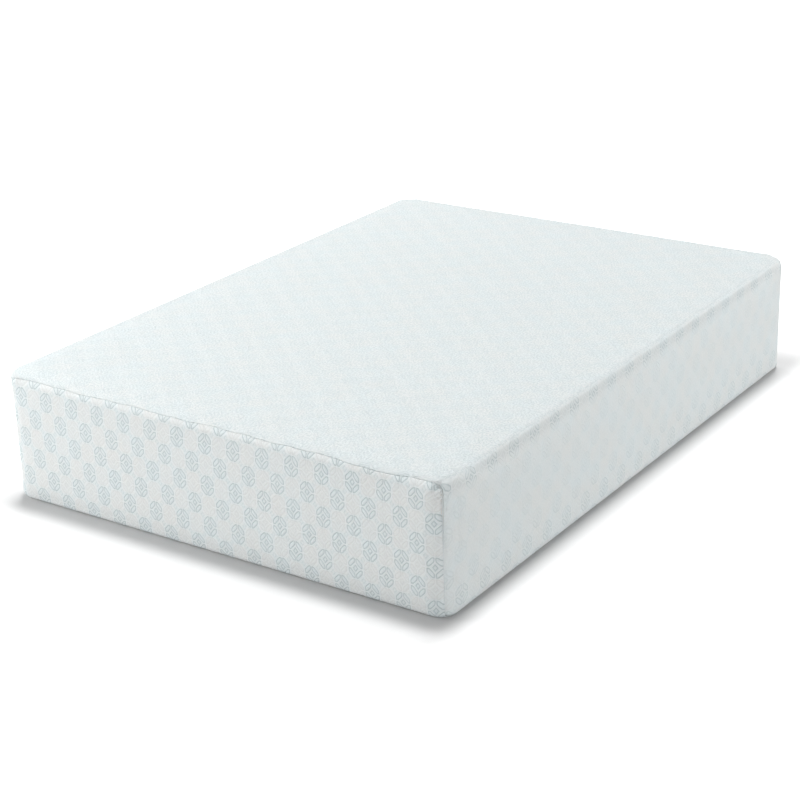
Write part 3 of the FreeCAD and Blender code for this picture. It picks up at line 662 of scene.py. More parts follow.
def wrap_surface():
    """The wrap as a grid: every section point carried along the mattress, then round each end.

    On the straight run a point keeps its place in the section. Round an end it moves in by
    (1 - cos a) / (1 - cos 45) of the way to the opening and out by sin a / sin 45 of the roll's
    length, for a from 0 to 45 degrees, and is settled on the rounded block.
    """
    section, opening, arc = wrap_profile()
    corner = np.array([HALF_WIDTH - SIDE_INSET, TOP - TOP_INSET]) - OPENING_RADIUS
    past = np.maximum(np.abs(opening) - corner, 0)
    lean = past[:, 1] / np.maximum(past.sum(-1), 1e-9)
    dip = seam_sag(opening[:, 0]) * lean
    apart = TOP_OPENING * lean + seam_opening(opening[:, 1]) * (1 - lean)
    meet = (SEAM_MEET - apart) / np.hypot(lean, 1 - lean)
    opening = opening + np.stack([-np.sign(opening[:, 0]) * (1 - lean) * meet, dip - lean * meet], -1)
    roll = PLAN_RADIUS + (TOP_RADIUS - PLAN_RADIUS) * lean
    depth = SEAM_MEET + SIDE_INSET * (1 - lean) + TOP_INSET * lean - dip
    reach = np.sqrt(roll ** 2 - (roll - depth) ** 2)
    under = section[:, 1] < 1e-6
    opening[under] = section[under]
    start = np.where(under, HALF_LENGTH - TURN_UNDER - 0.002, HALF_LENGTH - roll)
    reach = np.where(under, 0.002, reach)
    angle = np.linspace(0, math.pi / 4, 15)[1:]
    pull_in = (1 - np.cos(angle)) / (1 - math.cos(math.pi / 4))
    carry = np.sin(angle) / math.sin(math.pi / 4)
    straight = spread(-1, 1, 190, 1.35)
    rows = []
    for sign, order in ((-1, slice(None, None, -1)), (1, slice(None))):
        flat = section[None] + (opening - section)[None] * pull_in[order, None, None]
        out = sign * (start[None] + reach[None] * carry[order, None])
        rows.append(np.stack([flat[..., 0], out, flat[..., 1]], -1))
    middle = np.stack([np.broadcast_to(section[:, 0], (len(straight), len(section))),
                       straight[:, None] * start[None],
                       np.broadcast_to(section[:, 1], (len(straight), len(section)))], -1)
    points = settle(np.concatenate([rows[0], middle, rows[1]]), 0.0, *COVER_BLOCK)
    for edge, inwards, sign in ((0, 1, -1), (-1, -1, 1)):
        sewn = np.stack([opening[:, 0], np.full(len(opening), sign * HALF_LENGTH), opening[:, 1]], -1)
        gap = np.where(under[:, None], 0, onto_end(sewn, *COVER_BLOCK) - points[edge])
        for step in range(10):
            points[edge + inwards * step] += gap * (1 - step / 10) ** 2
    points = settle(points, 0.0, *COVER_BLOCK)
    points[..., 2] = np.maximum(points[..., 2], 0.0)
    return points, arc


def cover_wrap():
    """The wrap: its surface swells outwards, and folds and gathers beside the end seams."""
    points, arc = wrap_surface()
    steps = np.linalg.norm(np.diff(points, axis=0), axis=-1)
    along = np.concatenate([np.zeros((1, points.shape[1])), np.cumsum(steps, axis=0)])
    to_foot, to_head = along, along[-1:] - along
    to_seam = np.minimum(to_foot, to_head)
    around = np.broadcast_to(arc[None], points.shape[:2])
    normal = outward(points, *COVER_BLOCK)
    held = (to_seam < 1e-6) | (points[..., 2] < 0.010)
    pushed = swell(points, held, True, cap=0.0045)
    lift = np.maximum((pushed * normal).sum(-1), -0.0006)
    sideways = np.abs(normal[..., 0])
    upright = sideways / np.maximum(sideways + normal[..., 2] ** 2, 1e-6)
    upright = np.clip(upright * 1.6 - 0.5, 0, 1)
    foot_folds, head_folds = (puckers(around, to_seam, upright, points[..., 2], seed)
                              for seed in (FOOT_SEED, HEAD_SEED))
    folds = np.where(to_foot < to_head, foot_folds, head_folds) + corner_gathers(points)
    points = points + normal * ((lift + folds) * off_floor(points[..., 2]))[..., None]
    points[..., 2] = np.maximum(points[..., 2], 0.0)
    middle_row = along[:, points.shape[1] // 2]
    shift_along, shift_around = WRAP_MOTIF_SHIFT
    uv = np.stack([(along - middle_row[-1] / 2) / WRAP_MOTIF_STRETCH + shift_along,
                   around - arc[-1] / 2 + shift_around], -1)
    rows, columns = points.shape[:2]
    piece = make_piece("cover_wrap", points.reshape(-1, 3), grid_quads(rows, columns), WRAP_KNIT,
                       uv.reshape(-1, 2), stands_for=["cover_wrap_panel"])
    add_wall(piece, COVER_WALL)


# ------------------------------------------------------------------ cover: the end panels

PANEL_HALF = HALF_WIDTH - SIDE_INSET - SEAM_GAP + SEAM_MEET
PANEL_TOP = TOP - TOP_INSET - SEAM_GAP + SEAM_MEET - TOP_OPENING
PANEL_CORNER = OPENING_RADIUS - SEAM_MEET
PANEL_COLUMNS = 210
UNDER_EDGE = BOTTOM_RADIUS - BOTTOM_RADIUS * math.pi / 2 - (TURN_UNDER - BOTTOM_RADIUS)


def end_surface(low_edge, high_edge, rows, columns, at_head):
    """Part of an end face as a grid, between two heights that may vary across the mattress.

    A point at share a across and b up stands at a times the half width of its height, where the
    width draws in round the upper corners by the panel's corner radius. Its depth is solved on the
    rounded block, along the mattress. Heights below 0 are lengths under the mattress.
    """
    share = spread(-1, 1, columns, 1.6)
    across = share * PANEL_HALF
    bottom, upper = low_edge(across), high_edge(across)
    level = bottom[None] + (upper - bottom)[None] * rows[:, None]
    turn = np.clip((level - (PANEL_TOP - PANEL_CORNER)) / PANEL_CORNER, 0, 1)
    half = PANEL_HALF - PANEL_CORNER * (1 - np.sqrt(1 - turn ** 2))
    x = share[None] * half
    plan_over = np.clip(np.abs(x) - (HALF_WIDTH - PLAN_RADIUS), 0, None)
    drawn_in = PLAN_RADIUS - np.sqrt(PLAN_RADIUS ** 2 - plan_over ** 2)
    quarter = BOTTOM_RADIUS * math.pi / 2
    roll = np.clip((level + quarter - BOTTOM_RADIUS) / quarter, 0, 1) * math.pi / 2
    under = np.clip(-(level + quarter - BOTTOM_RADIUS), 0, None)
    z = np.where(level > BOTTOM_RADIUS, level, BOTTOM_RADIUS * (1 - np.cos(roll)))
    back = BOTTOM_RADIUS * (1 - np.sin(roll)) + under
    top_over = np.clip(z - (TOP - TOP_RADIUS), 0, None)
    top_back = TOP_RADIUS - np.sqrt(np.maximum(TOP_RADIUS ** 2 - top_over ** 2, 0))
    y = HALF_LENGTH - drawn_in - np.where(level > BOTTOM_RADIUS, 0, back) - top_back
    points = np.stack([x, y if at_head else -y, z], -1)
    return points, level


def half_of(points):
    """Half the width of each row of a grid of points."""
    return np.abs(points[:, :1, 0])


def end_panel(name, low_edge, high_edge, row_shares, at_head, node, has_top, slot_line, uv_shift):
    """An end panel: its surface opens beside the upright seams, swells, folds and gathers."""
    points, level = end_surface(low_edge, high_edge, row_shares, PANEL_COLUMNS, at_head)
    points = np.where((level > BOTTOM_RADIUS)[..., None], onto_end(points, *COVER_BLOCK),
                      np.where((level > 0.001)[..., None], settle(points, 0.0, *COVER_BLOCK), points))
    if has_top:
        flat_run = np.abs(points[-1, :, 0]) < PANEL_HALF - PANEL_CORNER
        short = np.where(flat_run, seam_line(points[-1, :, 0]) - points[-1, :, 2], 0)
        for step in range(8):
            points[-1 - step, :, 2] += short * (1 - step / 8)
        points[-8:] = onto_end(points[-8:], *COVER_BLOCK)
    points[..., 2] = np.maximum(points[..., 2], 0.0)
    beside = np.exp(-(half_of(points) - np.abs(points[..., 0])) / 0.008)
    points[..., 0] -= np.sign(points[..., 0]) * seam_opening(points[..., 2]) * beside
    x = points[..., 0]
    to_side = np.minimum(np.abs(x - x[:, :1]), np.abs(x[:, -1:] - x))
    to_top = np.abs(high_edge(x) - level) if has_top else np.full(level.shape, 1.0)
    distance = np.minimum(to_side, to_top)
    around = np.where(to_side < to_top, level, x + 5.0)
    normal = outward(points, *COVER_BLOCK)
    held = np.zeros(level.shape, bool)
    held[[0, -1]] = held[:, [0, -1]] = True
    held |= level < 0.010
    pushed = swell(points, held, not at_head, cap=0.0035)
    upright = np.clip((to_top - to_side) / 0.01 + 0.5, 0, 1)
    lift = np.maximum((pushed * normal).sum(-1), -0.0006)
    seed = HEAD_SEED if at_head else FOOT_SEED
    lift = lift + puckers(around, distance, upright, level, seed) + corner_gathers(points)
    if slot_line:
        lift = lift - 0.0008 * np.exp(-(np.abs(level - slot_line(x)) / 0.002) ** 2)
    points = points + normal * (lift * off_floor(level))[..., None]
    points[..., 2] = np.maximum(points[..., 2], 0.0)
    uv = np.stack([points[..., 0] + uv_shift[0], level + uv_shift[1]], -1)
    quads = grid_quads(*points.shape[:2])
    piece = make_piece(name, points.reshape(-1, 3), quads[:, ::-1] if at_head else quads, KNIT,
                       uv.reshape(-1, 2), stands_for=[node])
    add_wall(piece, COVER_WALL)


def level_line(height):
    """An edge at one height, whatever the place across."""
    return lambda across: np.full_like(across, height)


def seam_line(across):
    """The upper edge of an end panel, just below the seam."""
    return PANEL_TOP + seam_sag(across)


def slot_edge(sign):
    """The edge of a head panel: half the slot's height from the zip, stepping in past its ends."""
    def edge(across):
        past = np.clip((np.abs(across) - SLOT_END) / 0.004, 0, 1)
        return ZIP_LEVEL + sign * (SLOT_HALF * (1 - smooth_rise(past)) + 0.0002)
    return edge


def cover_ends():
    """The foot panel in one piece, and the two head panels above and below the zip."""
    end_panel("foot_end_cover", level_line(UNDER_EDGE), seam_line,
              runs((0, 0.13, 14), (0.13, 0.9, 52), (0.9, 1, 18)), False,
              "foot_end_panel", True, None, (0.0505, -0.0215))
    end_panel("head_end_cover", slot_edge(1), seam_line,
              runs((0, 0.06, 8), (0.06, 0.88, 44), (0.88, 1, 18)), True,
              "head_end_panel", True, slot_edge(1), (0.0, -0.0165))
    end_panel("lower_head_cover", level_line(UNDER_EDGE), slot_edge(-1),
              runs((0, 0.5, 16), (0.5, 1, 18)), True,
              "lower_head_panel", False, slot_edge(-1), (0.0, -0.0165))


# ------------------------------------------------------------------ cover: underside and seams

def underside():
    """The flat panel under the mattress, with a faint quilting sag between its seams."""
    low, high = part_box("underside_panel")
    x = spread(low[0], high[0], 90, 1.3)
    y = spread(low[1], high[1], 120, 1.3)
    grid_y, grid_x = np.meshgrid(y, x, indexing="ij")
    edge = np.minimum(high[0] - np.abs(grid_x), high[1] - np.abs(grid_y))
    z = 0.0012 * np.exp(-(edge / 0.004) ** 2) + 0.0001
    points = np.stack([grid_x, grid_y, z], -1)
    piece = make_piece("underside_cloth_panel", points.reshape(-1, 3), grid_quads(len(y), len(x))[:, ::-1],
                       PLAIN_CLOTH, np.stack([grid_x, grid_y], -1).reshape(-1, 2),
                       stands_for=["underside_panel"])
    add_wall(piece, UNDERSIDE_WALL)


def tube_along(path, radius, sides, closed=False):
    """A tube round a path: a ring of sides points at each step, in the plane across the path."""
    ahead = np.roll(path, -1, 0) - np.roll(path, 1, 0) if closed else np.gradient(path, axis=0)
    ahead = ahead / np.linalg.norm(ahead, axis=1, keepdims=True)
    seed = np.where(np.abs(ahead[:, 2:3]) < 0.9, [[0.0, 0.0, 1.0]], [[0.0, 1.0, 0.0]])
    first = np.cross(ahead, seed)
    first = first / np.linalg.norm(first, axis=1, keepdims=True)
    second = np.cross(ahead, first)
    turn = (np.arange(sides) * 2 * math.pi / sides)[None, :, None]
    ring = first[:, None] * np.cos(turn) + second[:, None] * np.sin(turn)
    radius = np.broadcast_to(np.asarray(radius, float), (len(path),))
    points = path[:, None] + ring * radius[:, None, None]
    index = np.arange(len(path) * sides).reshape(len(path), sides)
    around = np.roll(index, -1, 1)
    if closed:
        ahead_index, ahead_around = np.roll(index, -1, 0), np.roll(around, -1, 0)
        quads = np.stack([index, around, ahead_around, ahead_index], -1).reshape(-1, 4)
    else:
        quads = np.stack([index[:-1], around[:-1], around[1:], index[1:]], -1).reshape(-1, 4)
    return points.reshape(-1, 3), quads


def even_path(path, step):
    """The same line with points at even steps along it."""
    lengths = np.concatenate([[0], np.cumsum(np.linalg.norm(np.diff(path, axis=0), axis=1))])
    place = np.linspace(0, lengths[-1], max(8, int(lengths[-1] / step)))
    return np.stack([np.interp(place, lengths, path[:, axis]) for axis in range(3)], -1), place


def end_seam_path(at_head):
    """The middle of the gap round an end panel, up one side, over and down the other."""
    half = HALF_WIDTH - SIDE_INSET - SEAM_GAP / 2
    high = TOP - TOP_INSET - SEAM_GAP / 2
    corner = OPENING_RADIUS - SEAM_GAP / 2
    turn = np.linspace(0, math.pi / 2, 14)
    side = np.stack([np.full(40, half), np.linspace(0.004, high - corner, 40)], -1)
    arc = np.array([half - corner, high - corner]) + corner * np.stack([np.cos(turn), np.sin(turn)], -1)
    over = np.stack([np.linspace(half - corner, 0, 120), np.full(120, high)], -1)
    right = np.concatenate([side[:-1], arc[:-1], over])
    flat = np.concatenate([right, right[::-1][1:] * np.array([-1.0, 1.0])])
    y = np.full(len(flat), HALF_LENGTH)
    level = flat[:, 1] + np.where(flat[:, 1] > high - 0.001, seam_sag(flat[:, 0]), 0)
    points = onto_end(np.stack([flat[:, 0], y if at_head else -y, level], -1), *COVER_BLOCK)
    return points - outward(points, *COVER_BLOCK) * 0.0028


def seams():
    """Beads of thread and turned edge: a tube whose radius swells at every stitch."""
    for name, node, at_head in (("foot_end_seam_thread", "foot_end_seam", False),
                                ("head_end_seam_thread", "head_end_seam", True)):
        path, place = even_path(end_seam_path(at_head), 0.0012)
        radius = 0.0011 + 0.00022 * np.sin(2 * math.pi * place / 0.0045)
        points, quads = tube_along(path, radius, 8)
        make_piece(name, points, quads, THREAD, stands_for=[node])
    _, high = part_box("underside_seam")
    half_x, half_y = high[0] - 0.0012, high[1] - 0.0012
    x = np.concatenate([np.linspace(-half_x, half_x, 60)[:-1], np.full(59, half_x),
                        np.linspace(half_x, -half_x, 60)[:-1], np.full(59, -half_x)])
    y = np.concatenate([np.full(59, -half_y), np.linspace(-half_y, half_y, 60)[:-1], np.full(59, half_y),
                        np.linspace(half_y, -half_y, 60)[:-1]])
    loop = np.stack([x, y, np.full_like(x, 0.0022)], -1)
    path, place = even_path(np.concatenate([loop, loop[:1]]), 0.0024)
    points, quads = tube_along(path[:-1], 0.001 + 0.0002 * np.sin(2 * math.pi * place[:-1] / 0.006), 6,
                               closed=True)
    make_piece("underside_seam_thread", points, quads, THREAD,
               stands_for=["underside_seam"])


# ------------------------------------------------------------------ sock and foams

def box_grid(low, high, steps):
    """The six faces of a box as grids that share their edge points. The quads face inwards."""
    lines = [np.linspace(low[axis], high[axis], steps[axis] + 1) for axis in range(3)]
    points, quads, count = [], [], 0
    for axis in range(3):
        first, second = (axis + 1) % 3, (axis + 2) % 3
        for at_high in (False, True):
            a, b = np.meshgrid(lines[first], lines[second], indexing="ij")
            face = np.empty(a.shape + (3,))
            face[..., first], face[..., second] = a, b
            face[..., axis] = high[axis] if at_high else low[axis]
            cells = grid_quads(*a.shape)
            quads.append((cells[:, ::-1] if at_high else cells) + count)
            points.append(face.reshape(-1, 3))
            count += a.size
    points, quads = np.concatenate(points), np.concatenate(quads)
    keys = np.round(points / 1e-6).astype(np.int64)
    _, first_seen, place = np.unique(keys, axis=0, return_index=True, return_inverse=True)
    return points[first_seen], place.reshape(-1)[quads][:, ::-1]


def to_rounded(points, low, high, plan_radius, top_radii, bottom_radius, offset=0.0):
    """Points of a box's surface carried in until they lie on the rounded block."""
    middle = (low + high) / 2
    half = (high - low) / 2
    shrunk = middle + (points - middle) * (1 - 0.02 / half)
    return settle(shrunk, offset, low, high, plan_radius, top_radii, bottom_radius)


def foam_layer(name, node, material, steps, top_radii, bottom_radius, channels=None):
    """A cut foam slab: the box grid settled on a block with rounded upright corners."""
    low, high = (np.array(corner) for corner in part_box(node))
    points, quads = box_grid(low, high, steps)
    points = to_rounded(points, low, high, PLAN_RADIUS - 0.0058, top_radii, bottom_radius)
    if channels:
        points = channels(points, high[2])
    make_piece(name, points, quads, material, stands_for=[node])


CHANNEL_PITCH, CHANNEL_WIDTH, CHANNEL_DEPTH, CHANNEL_COUNT = 0.070, 0.050, 0.020, 26


def scallops(points, top):
    """Round-bottomed channels: the upper face drops by the depth of a circle's arc."""
    radius = (CHANNEL_WIDTH ** 2 / 4 + CHANNEL_DEPTH ** 2) / (2 * CHANNEL_DEPTH)
    start = -CHANNEL_PITCH * (CHANNEL_COUNT - 1) / 2
    turn = (points[:, 1] - start) / CHANNEL_PITCH
    nearest = np.clip(np.round(turn), 0, CHANNEL_COUNT - 1)
    away = np.abs(turn - nearest) * CHANNEL_PITCH
    arc = CHANNEL_DEPTH - radius + np.sqrt(np.maximum(radius ** 2 - away ** 2, 0))
    drop = np.where(away < CHANNEL_WIDTH / 2, np.maximum(arc, 0), 0)
    level = points[:, 2]
    on_top = level > top - 0.0005
    below_top = ~on_top & (level > top - CHANNEL_DEPTH * 1.4)
    moved = points.copy()
    moved[:, 2] -= np.where(on_top, drop, 0)
    moved[:, 2] = np.where(below_top, np.minimum(moved[:, 2], top - drop - 0.001), moved[:, 2])
    return moved


def foams():
    """The three slabs, with the rolls and channels that each is cut with."""
    foam_layer("memory_foam", "memory_foam_layer", MEMORY_FOAM, (90, 120, 12),
               (SOFT_ROLL, SOFT_ROLL, SOFT_CORNER_GROWTH), 0.0015)
    foam_layer("comfort_foam", "comfort_foam_layer", COMFORT_FOAM, (44, 540, 10),
               (0.0, 0.0, 0.0), 0.0, scallops)
    foam_layer("support_foam", "support_foam_core", SUPPORT_FOAM, (90, 120, 22),
               (0.0, 0.0, 0.0), 0.014)


def barrier():
    """The sock as a thin shell over the foams with a mouth in its head face, and the flap in it."""
    low, high = (np.array(corner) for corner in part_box("fire_barrier_sock"))
    flap_low, flap_high = (np.array(corner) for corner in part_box("barrier_end_flap"))
    points, quads = box_grid(low, high, (90, 120, 30))
    centre = points[quads].mean(1)
    at_head = points[quads][..., 1].min(1) > high[1] - 1e-6
    off_middle = np.abs(centre[:, 2] - (flap_low[2] + flap_high[2]) / 2)
    in_mouth = (np.abs(centre[:, 0]) < flap_high[0]) & (off_middle < (flap_high[2] - flap_low[2]) / 2)
    quads = quads[~(at_head & in_mouth)]
    points = to_rounded(points, low, high, PLAN_RADIUS - 0.0043,
                        (TOP_RADIUS - 0.0043, TOP_RADIUS - 0.0043, SOFT_CORNER_GROWTH), 0.014, -0.0001)
    used, quads = np.unique(quads, return_inverse=True)
    sock = make_piece("fire_barrier", points[used], quads.reshape(-1, 4), BARRIER_KNIT,
                      stands_for=["fire_barrier_sock"])
    add_wall(sock, SOCK_WALL)
    x = np.linspace(flap_low[0] - 0.006, flap_high[0] + 0.006, 80)
    z = np.linspace(flap_low[2] - 0.004, flap_high[2] + 0.004, 24)
    grid_z, grid_x = np.meshgrid(z, x, indexing="ij")
    ripple = 0.0002 * np.sin(grid_x * 60) * np.sin(grid_z * 35)
    y = np.full_like(grid_x, flap_high[1] - 0.0001) + ripple
    flap = make_piece("barrier_flap", np.stack([grid_x, y, grid_z], -1).reshape(-1, 3),
                      grid_quads(len(z), len(x))[:, ::-1], BARRIER_KNIT,
                      stands_for=["barrier_end_flap"])
    add_wall(flap, SOCK_WALL)


# ------------------------------------------------------------------ zip

COIL_PITCH = 0.0018
PARTING_START, PARTING_RUN, PARTING = 0.5998, 0.011, 0.0024


def parting(along):
    """How far each side of the zip has stepped off its middle, on its way round the slider."""
    return np.clip((along - PARTING_START) / PARTING_RUN, 0, 1) * PARTING


def coil(name, node, sign):
    """A nylon coil: a flattened helix of wire round a straight cord, parting at the slider.

    At turn t the wire is at pitch times t along, and goes round an ellipse as wide and high as the
    coil. Its inner side reaches past the middle of the zip, between the turns of the other coil.
    """
    low, high = (np.array(corner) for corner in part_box(node))
    turns = int((high[0] - low[0]) / COIL_PITCH)
    steps = 9
    turn = np.arange(turns * steps + 1) / steps + (0.5 if sign > 0 else 0.0)
    along = low[0] + 0.0004 + (turn - turn[0]) * COIL_PITCH
    part = parting(along)
    wire = 0.00033
    reach_in, reach_out = 0.00045, 0.0034
    half = (reach_out + reach_in) / 2
    middle = ZIP_LEVEL + sign * (part + (reach_out - reach_in) / 2)
    depth = (high[1] - low[1]) / 2 - wire
    angle = 2 * math.pi * turn
    z = middle + sign * (half - wire) * np.cos(angle)
    y = (low[1] + high[1]) / 2 + depth * np.sin(angle)
    path = np.stack([along, y, z], -1)
    points, quads = tube_along(path, wire, 5)
    core = np.stack([along[::12], np.full(len(along[::12]), low[1] + 0.0012),
                     ZIP_LEVEL + sign * (part[::12] + 0.0019)], -1)
    core_points, core_quads = tube_along(core, 0.0007, 8)
    make_piece(name, np.concatenate([points, core_points]),
               np.concatenate([quads, core_quads + len(points)]), NYLON, stands_for=[node])


def tape(name, node, sign):
    """A woven tape: a strip whose inner edge steps out with the coil, with a thicker selvedge."""
    low, high = (np.array(corner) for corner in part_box(node))
    along = np.concatenate([np.linspace(low[0], 0.597, 200), np.linspace(0.5985, 0.6135, 14),
                            np.linspace(0.615, high[0], 8)])
    part = parting(along)
    share = np.array([0, 0.03, 0.07, 0.12, 0.5, 0.9, 0.96, 1.0])
    near = 0.0004 + part
    far = 0.0204
    offset = near[:, None] + (far - near[:, None]) * share[None]
    selvedge = np.where((share > 0.9) | (share < 0.05), 0.00012, 0.0)
    points = np.stack([np.broadcast_to(along[:, None], offset.shape),
                       np.broadcast_to(high[1] - 0.00014 + selvedge[None], offset.shape),
                       ZIP_LEVEL + sign * offset], -1)
    quads = grid_quads(*offset.shape)
    piece = make_piece(name, points.reshape(-1, 3), quads if sign < 0 else quads[:, ::-1], TAPE,
                       stands_for=[node])
    add_wall(piece, TAPE_WALL)


def slot_stitches():
    """Lockstitches that hold the tapes: short rounded bars in a row beside each edge of the slot."""
    pitch, length, radius = 0.0036, 0.0027, 0.0003
    turn = np.arange(6) * math.pi / 3
    shares = np.array([-0.5, -0.4, 0.4, 0.5])
    widths = np.array([0.35, 1.0, 1.0, 0.35])
    ring = np.stack([np.broadcast_to(shares[:, None] * length, (4, 6)),
                     widths[:, None] * np.cos(turn) * radius,
                     widths[:, None] * np.sin(turn) * radius], -1).reshape(-1, 3)
    index = np.arange(24).reshape(4, 6)
    around = np.roll(index, -1, 1)
    bar = np.stack([index[:-1], index[1:], around[1:], around[:-1]], -1).reshape(-1, 4)
    caps = np.array([[0, 1, 2, 3], [0, 3, 4, 5], [21, 20, 19, 18], [18, 23, 22, 21]])
    bar = np.concatenate([bar[:, ::-1], caps])
    along = np.arange(-SLOT_END + 0.006, SLOT_END - 0.006, pitch)
    points, quads = [], []
    for row, sign in enumerate((1, -1)):
        z = ZIP_LEVEL + sign * (SLOT_HALF + 0.0028)
        place = np.stack([along, np.full_like(along, HALF_LENGTH), np.full_like(along, z)], -1)
        place[:, 1] += 0.0016
        points.append((place[:, None] + ring[None]).reshape(-1, 3))
        starts = (np.arange(len(along)) + row * len(along)) * len(ring)
        quads.append((starts[:, None, None] + bar[None]).reshape(-1, 4))
    make_piece("zip_slot_stitches", np.concatenate(points), np.concatenate(quads), THREAD)


def zip_fastener():
    """Both tapes and coils, their stitches, and the lacquer of the cast parts."""
    for word, sign in (("upper", 1), ("lower", -1)):
        tape(word + "_tape_woven", word + "_zip_tape", sign)
        coil(word + "_coil_wire", word + "_zip_coil", sign)
    slot_stitches()
    for node in ("zip_bottom_stop", "zip_top_stops", "zip_slider", "zip_pull"):
        mesh = frame["nodes"][node].data
        mesh.materials.clear()
        mesh.materials.append(LACQUER)


# ------------------------------------------------------------------ stage, light and camera

def seen_directly(tree):
    """1 for rays from the camera, and for those that gloss or clear material sends on."""
    path = tree.nodes.new("ShaderNodeLightPath")
    total = path.outputs["Is Camera Ray"]
    for word in ("Is Glossy Ray", "Is Transmission Ray"):
        either = tree.nodes.new("ShaderNodeMath")
        either.operation = "MAXIMUM"
        tree.links.new(total, either.inputs[0])
        tree.links.new(path.outputs[word], either.inputs[1])
        total = either.outputs[0]
    return total


FLOOR_COLOUR = 0.65
# The floor's glow is seen only by the camera and rises from the first strength to the second between the
# two distances from the mattress, twice as fast beside the long sides; where it is low, beside the
# mattress, it is painted shadow over the lamps' shadow.
FLOOR_GLOW = (0.02, 0.77)
GLOW_REACH = (0.01, 0.27)
SIDE_GLOW = 2.0
WORLD_LIGHT = 0.07
SUN_LIGHT = 0.65
SUN_SPREAD = 10.0
FLOOR_HALF = 60.0
FLOOR_LEVEL = -0.0005


def floor():
    """A pale floor with the lamps' shadow beside the mattress, and a glow seen only by the camera that is
    low there and rises to white away from it: the low glow beside the mattress is painted shadow over the
    real one.
    """
    material = bpy.data.materials.new("studio_floor")
    material.use_nodes = True
    tree = material.node_tree
    tree.nodes.clear()
    out = tree.nodes.new("ShaderNodeOutputMaterial")
    matt = tree.nodes.new("ShaderNodeBsdfDiffuse")
    matt.inputs["Color"].default_value = (FLOOR_COLOUR, FLOOR_COLOUR, FLOOR_COLOUR, 1)
    glow = tree.nodes.new("ShaderNodeEmission")
    glow.inputs["Color"].default_value = (1, 1, 1, 1)
    place = tree.nodes.new("ShaderNodeSeparateXYZ")
    tree.links.new(tree.nodes.new("ShaderNodeTexCoord").outputs["Object"], place.inputs[0])

    def work(operation, first, second=0.0):
        made = tree.nodes.new("ShaderNodeMath")
        made.operation = operation
        for socket, value in zip(made.inputs, (first, second)):
            if isinstance(value, float):
                socket.default_value = value
            else:
                tree.links.new(value, socket)
        return made.outputs[0]

    past = [work("MAXIMUM", work("SUBTRACT", work("ABSOLUTE", place.outputs[axis]), float(half)), 0.0)
            for axis, half in enumerate((HALF_WIDTH, HALF_LENGTH))]
    away = work("SQRT", work("ADD", work("POWER", work("MULTIPLY", past[0], SIDE_GLOW), 2.0),
                             work("POWER", past[1], 2.0)))
    # Painted shadow: the glow stays low near the mattress and rises away from it, which shapes the fade of
    # its shadow on the floor.
    rise = tree.nodes.new("ShaderNodeMapRange")
    rise.interpolation_type = "SMOOTHSTEP"
    tree.links.new(away, rise.inputs["Value"])
    for word, value in zip(("From Min", "From Max", "To Min", "To Max"), GLOW_REACH + FLOOR_GLOW):
        rise.inputs[word].default_value = value
    tree.links.new(work("MULTIPLY", seen_directly(tree), rise.outputs[0]), glow.inputs["Strength"])
    both = tree.nodes.new("ShaderNodeAddShader")
    tree.links.new(matt.outputs[0], both.inputs[0])
    tree.links.new(glow.outputs[0], both.inputs[1])
    tree.links.new(both.outputs[0], out.inputs["Surface"])
    mesh = bpy.data.meshes.new("studio_floor")
    corners = ((-1, -1), (1, -1), (1, 1), (-1, 1))
    mesh.from_pydata([(x * FLOOR_HALF, y * FLOOR_HALF, FLOOR_LEVEL) for x, y in corners], [],
                     [(0, 1, 2, 3)])
    mesh.materials.append(material)
    piece = bpy.data.objects.new("studio_floor", mesh)
    bpy.context.scene.collection.objects.link(piece)


def world():
    """Even white light from all round, and plain white where the camera sees past the floor."""
    sky = bpy.data.worlds.new("studio_world")
    bpy.context.scene.world = sky
    sky.use_nodes = True
    tree = sky.node_tree
    back = tree.nodes["Background"]
    back.inputs["Color"].default_value = (1, 1, 1, 1)
    strength = tree.nodes.new("ShaderNodeMapRange")
    strength.inputs["To Min"].default_value = WORLD_LIGHT
    strength.inputs["To Max"].default_value = 1.0
    tree.links.new(seen_directly(tree), strength.inputs["Value"])
    tree.links.new(strength.outputs[0], back.inputs["Strength"])


LAMPS = (
    ("front_left", (-2.9, -2.15, 2.1), (-0.3, -0.6, 0.2), 2.2, 46.0),
    ("left_low", (-2.2, -2.4, 0.9), (-0.5, -0.8, 0.25), 1.2, 14.5),
    ("front_low", (0.3, -4.0, 0.8), (0.0, -0.9, 0.15), 2.0, 36.0),
    ("right_low", (4.0, -0.3, 0.8), (0.6, 0.0, 0.15), 2.4, 42.0),
    ("right_far", (3.6, 2.6, 0.9), (0.65, 0.8, 0.15), 1.8, 20.0),
    ("back_right", (3.0, 2.4, 2.0), (0.4, 0.6, 0.2), 2.2, 20.0),
    ("back_left", (-3.0, 2.6, 2.4), (-0.2, 0.6, 0.3), 2.2, 62.0),
)
SUN_FROM = (-0.05, 0.17, 1.0)


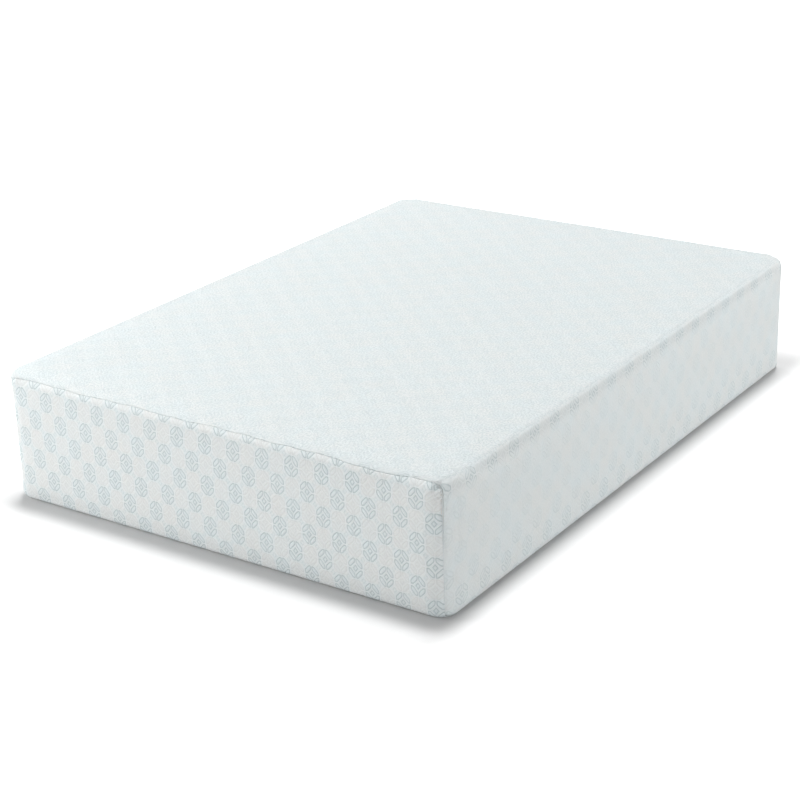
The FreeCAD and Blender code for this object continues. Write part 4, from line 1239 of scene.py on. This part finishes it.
def lamps():
    """Large round lamps from all sides, and a soft sun from nearly straight above."""
    for name, place, target, width, power in LAMPS:
        data = bpy.data.lights.new(name, "AREA")
        data.shape = "DISK"
        data.size = width
        data.energy = power
        lamp = bpy.data.objects.new(name, data)
        back = np.array(place) - np.array(target)
        back = back / np.linalg.norm(back)
        lamp.matrix_world = facing(back, np.array(place), 0.0)
        bpy.context.scene.collection.objects.link(lamp)
    data = bpy.data.lights.new("high_soft_sun", "SUN")
    data.energy = SUN_LIGHT * math.pi
    data.angle = math.radians(SUN_SPREAD)
    high = bpy.data.objects.new("high_soft_sun", data)
    back = np.array(SUN_FROM)
    high.matrix_world = facing(back / np.linalg.norm(back), back * 5, 0.0)
    bpy.context.scene.collection.objects.link(high)


def facing(back, place, roll):
    """A pose that looks against back from a place, turned by roll degrees about the view."""
    right = np.cross([0.0, 0.0, 1.0], back)
    right = right / np.linalg.norm(right)
    up = np.cross(back, right)
    c, s = math.cos(math.radians(roll)), math.sin(math.radians(roll))
    columns = np.stack([c * right + s * up, c * up - s * right, back], 1)
    pose = Matrix.Identity(4)
    for row in range(3):
        pose[row][:3] = columns[row]
        pose[row][3] = place[row]
    return pose


AZIMUTH, ELEVATION, ROLL = 34.62, 22.00, -1.775
FOCAL, FRAME_WIDTH, SENSOR = 1872.5, 800.0, 36.0
AIM = (0.0722, 0.0742, 5.387)


def camera():
    """The camera looks along its azimuth and elevation; AIM is the origin in its own directions."""
    a, e = math.radians(AZIMUTH), math.radians(ELEVATION)
    back = np.array([math.sin(a) * math.cos(e), -math.cos(a) * math.cos(e), math.sin(e)])
    pose = facing(back, np.zeros(3), ROLL)
    turn = np.array(pose.to_3x3())
    place = -(AIM[0] * turn[:, 0] - AIM[1] * turn[:, 1] - AIM[2] * turn[:, 2])
    data = bpy.data.cameras.new("studio_camera")
    data.sensor_width = SENSOR
    data.lens = FOCAL / FRAME_WIDTH * SENSOR
    data.clip_end = 100
    pose.translation = place
    view = bpy.data.objects.new("studio_camera", data)
    view.matrix_world = pose
    bpy.context.scene.collection.objects.link(view)
    bpy.context.scene.camera = view


# ------------------------------------------------------------------ all together

camera()
world()
lamps()
floor()
cover_wrap()
cover_ends()
underside()
seams()
barrier()
foams()
zip_fastener()
bpy.context.scene.view_settings.view_transform = "Standard"
bpy.context.view_layer.update()
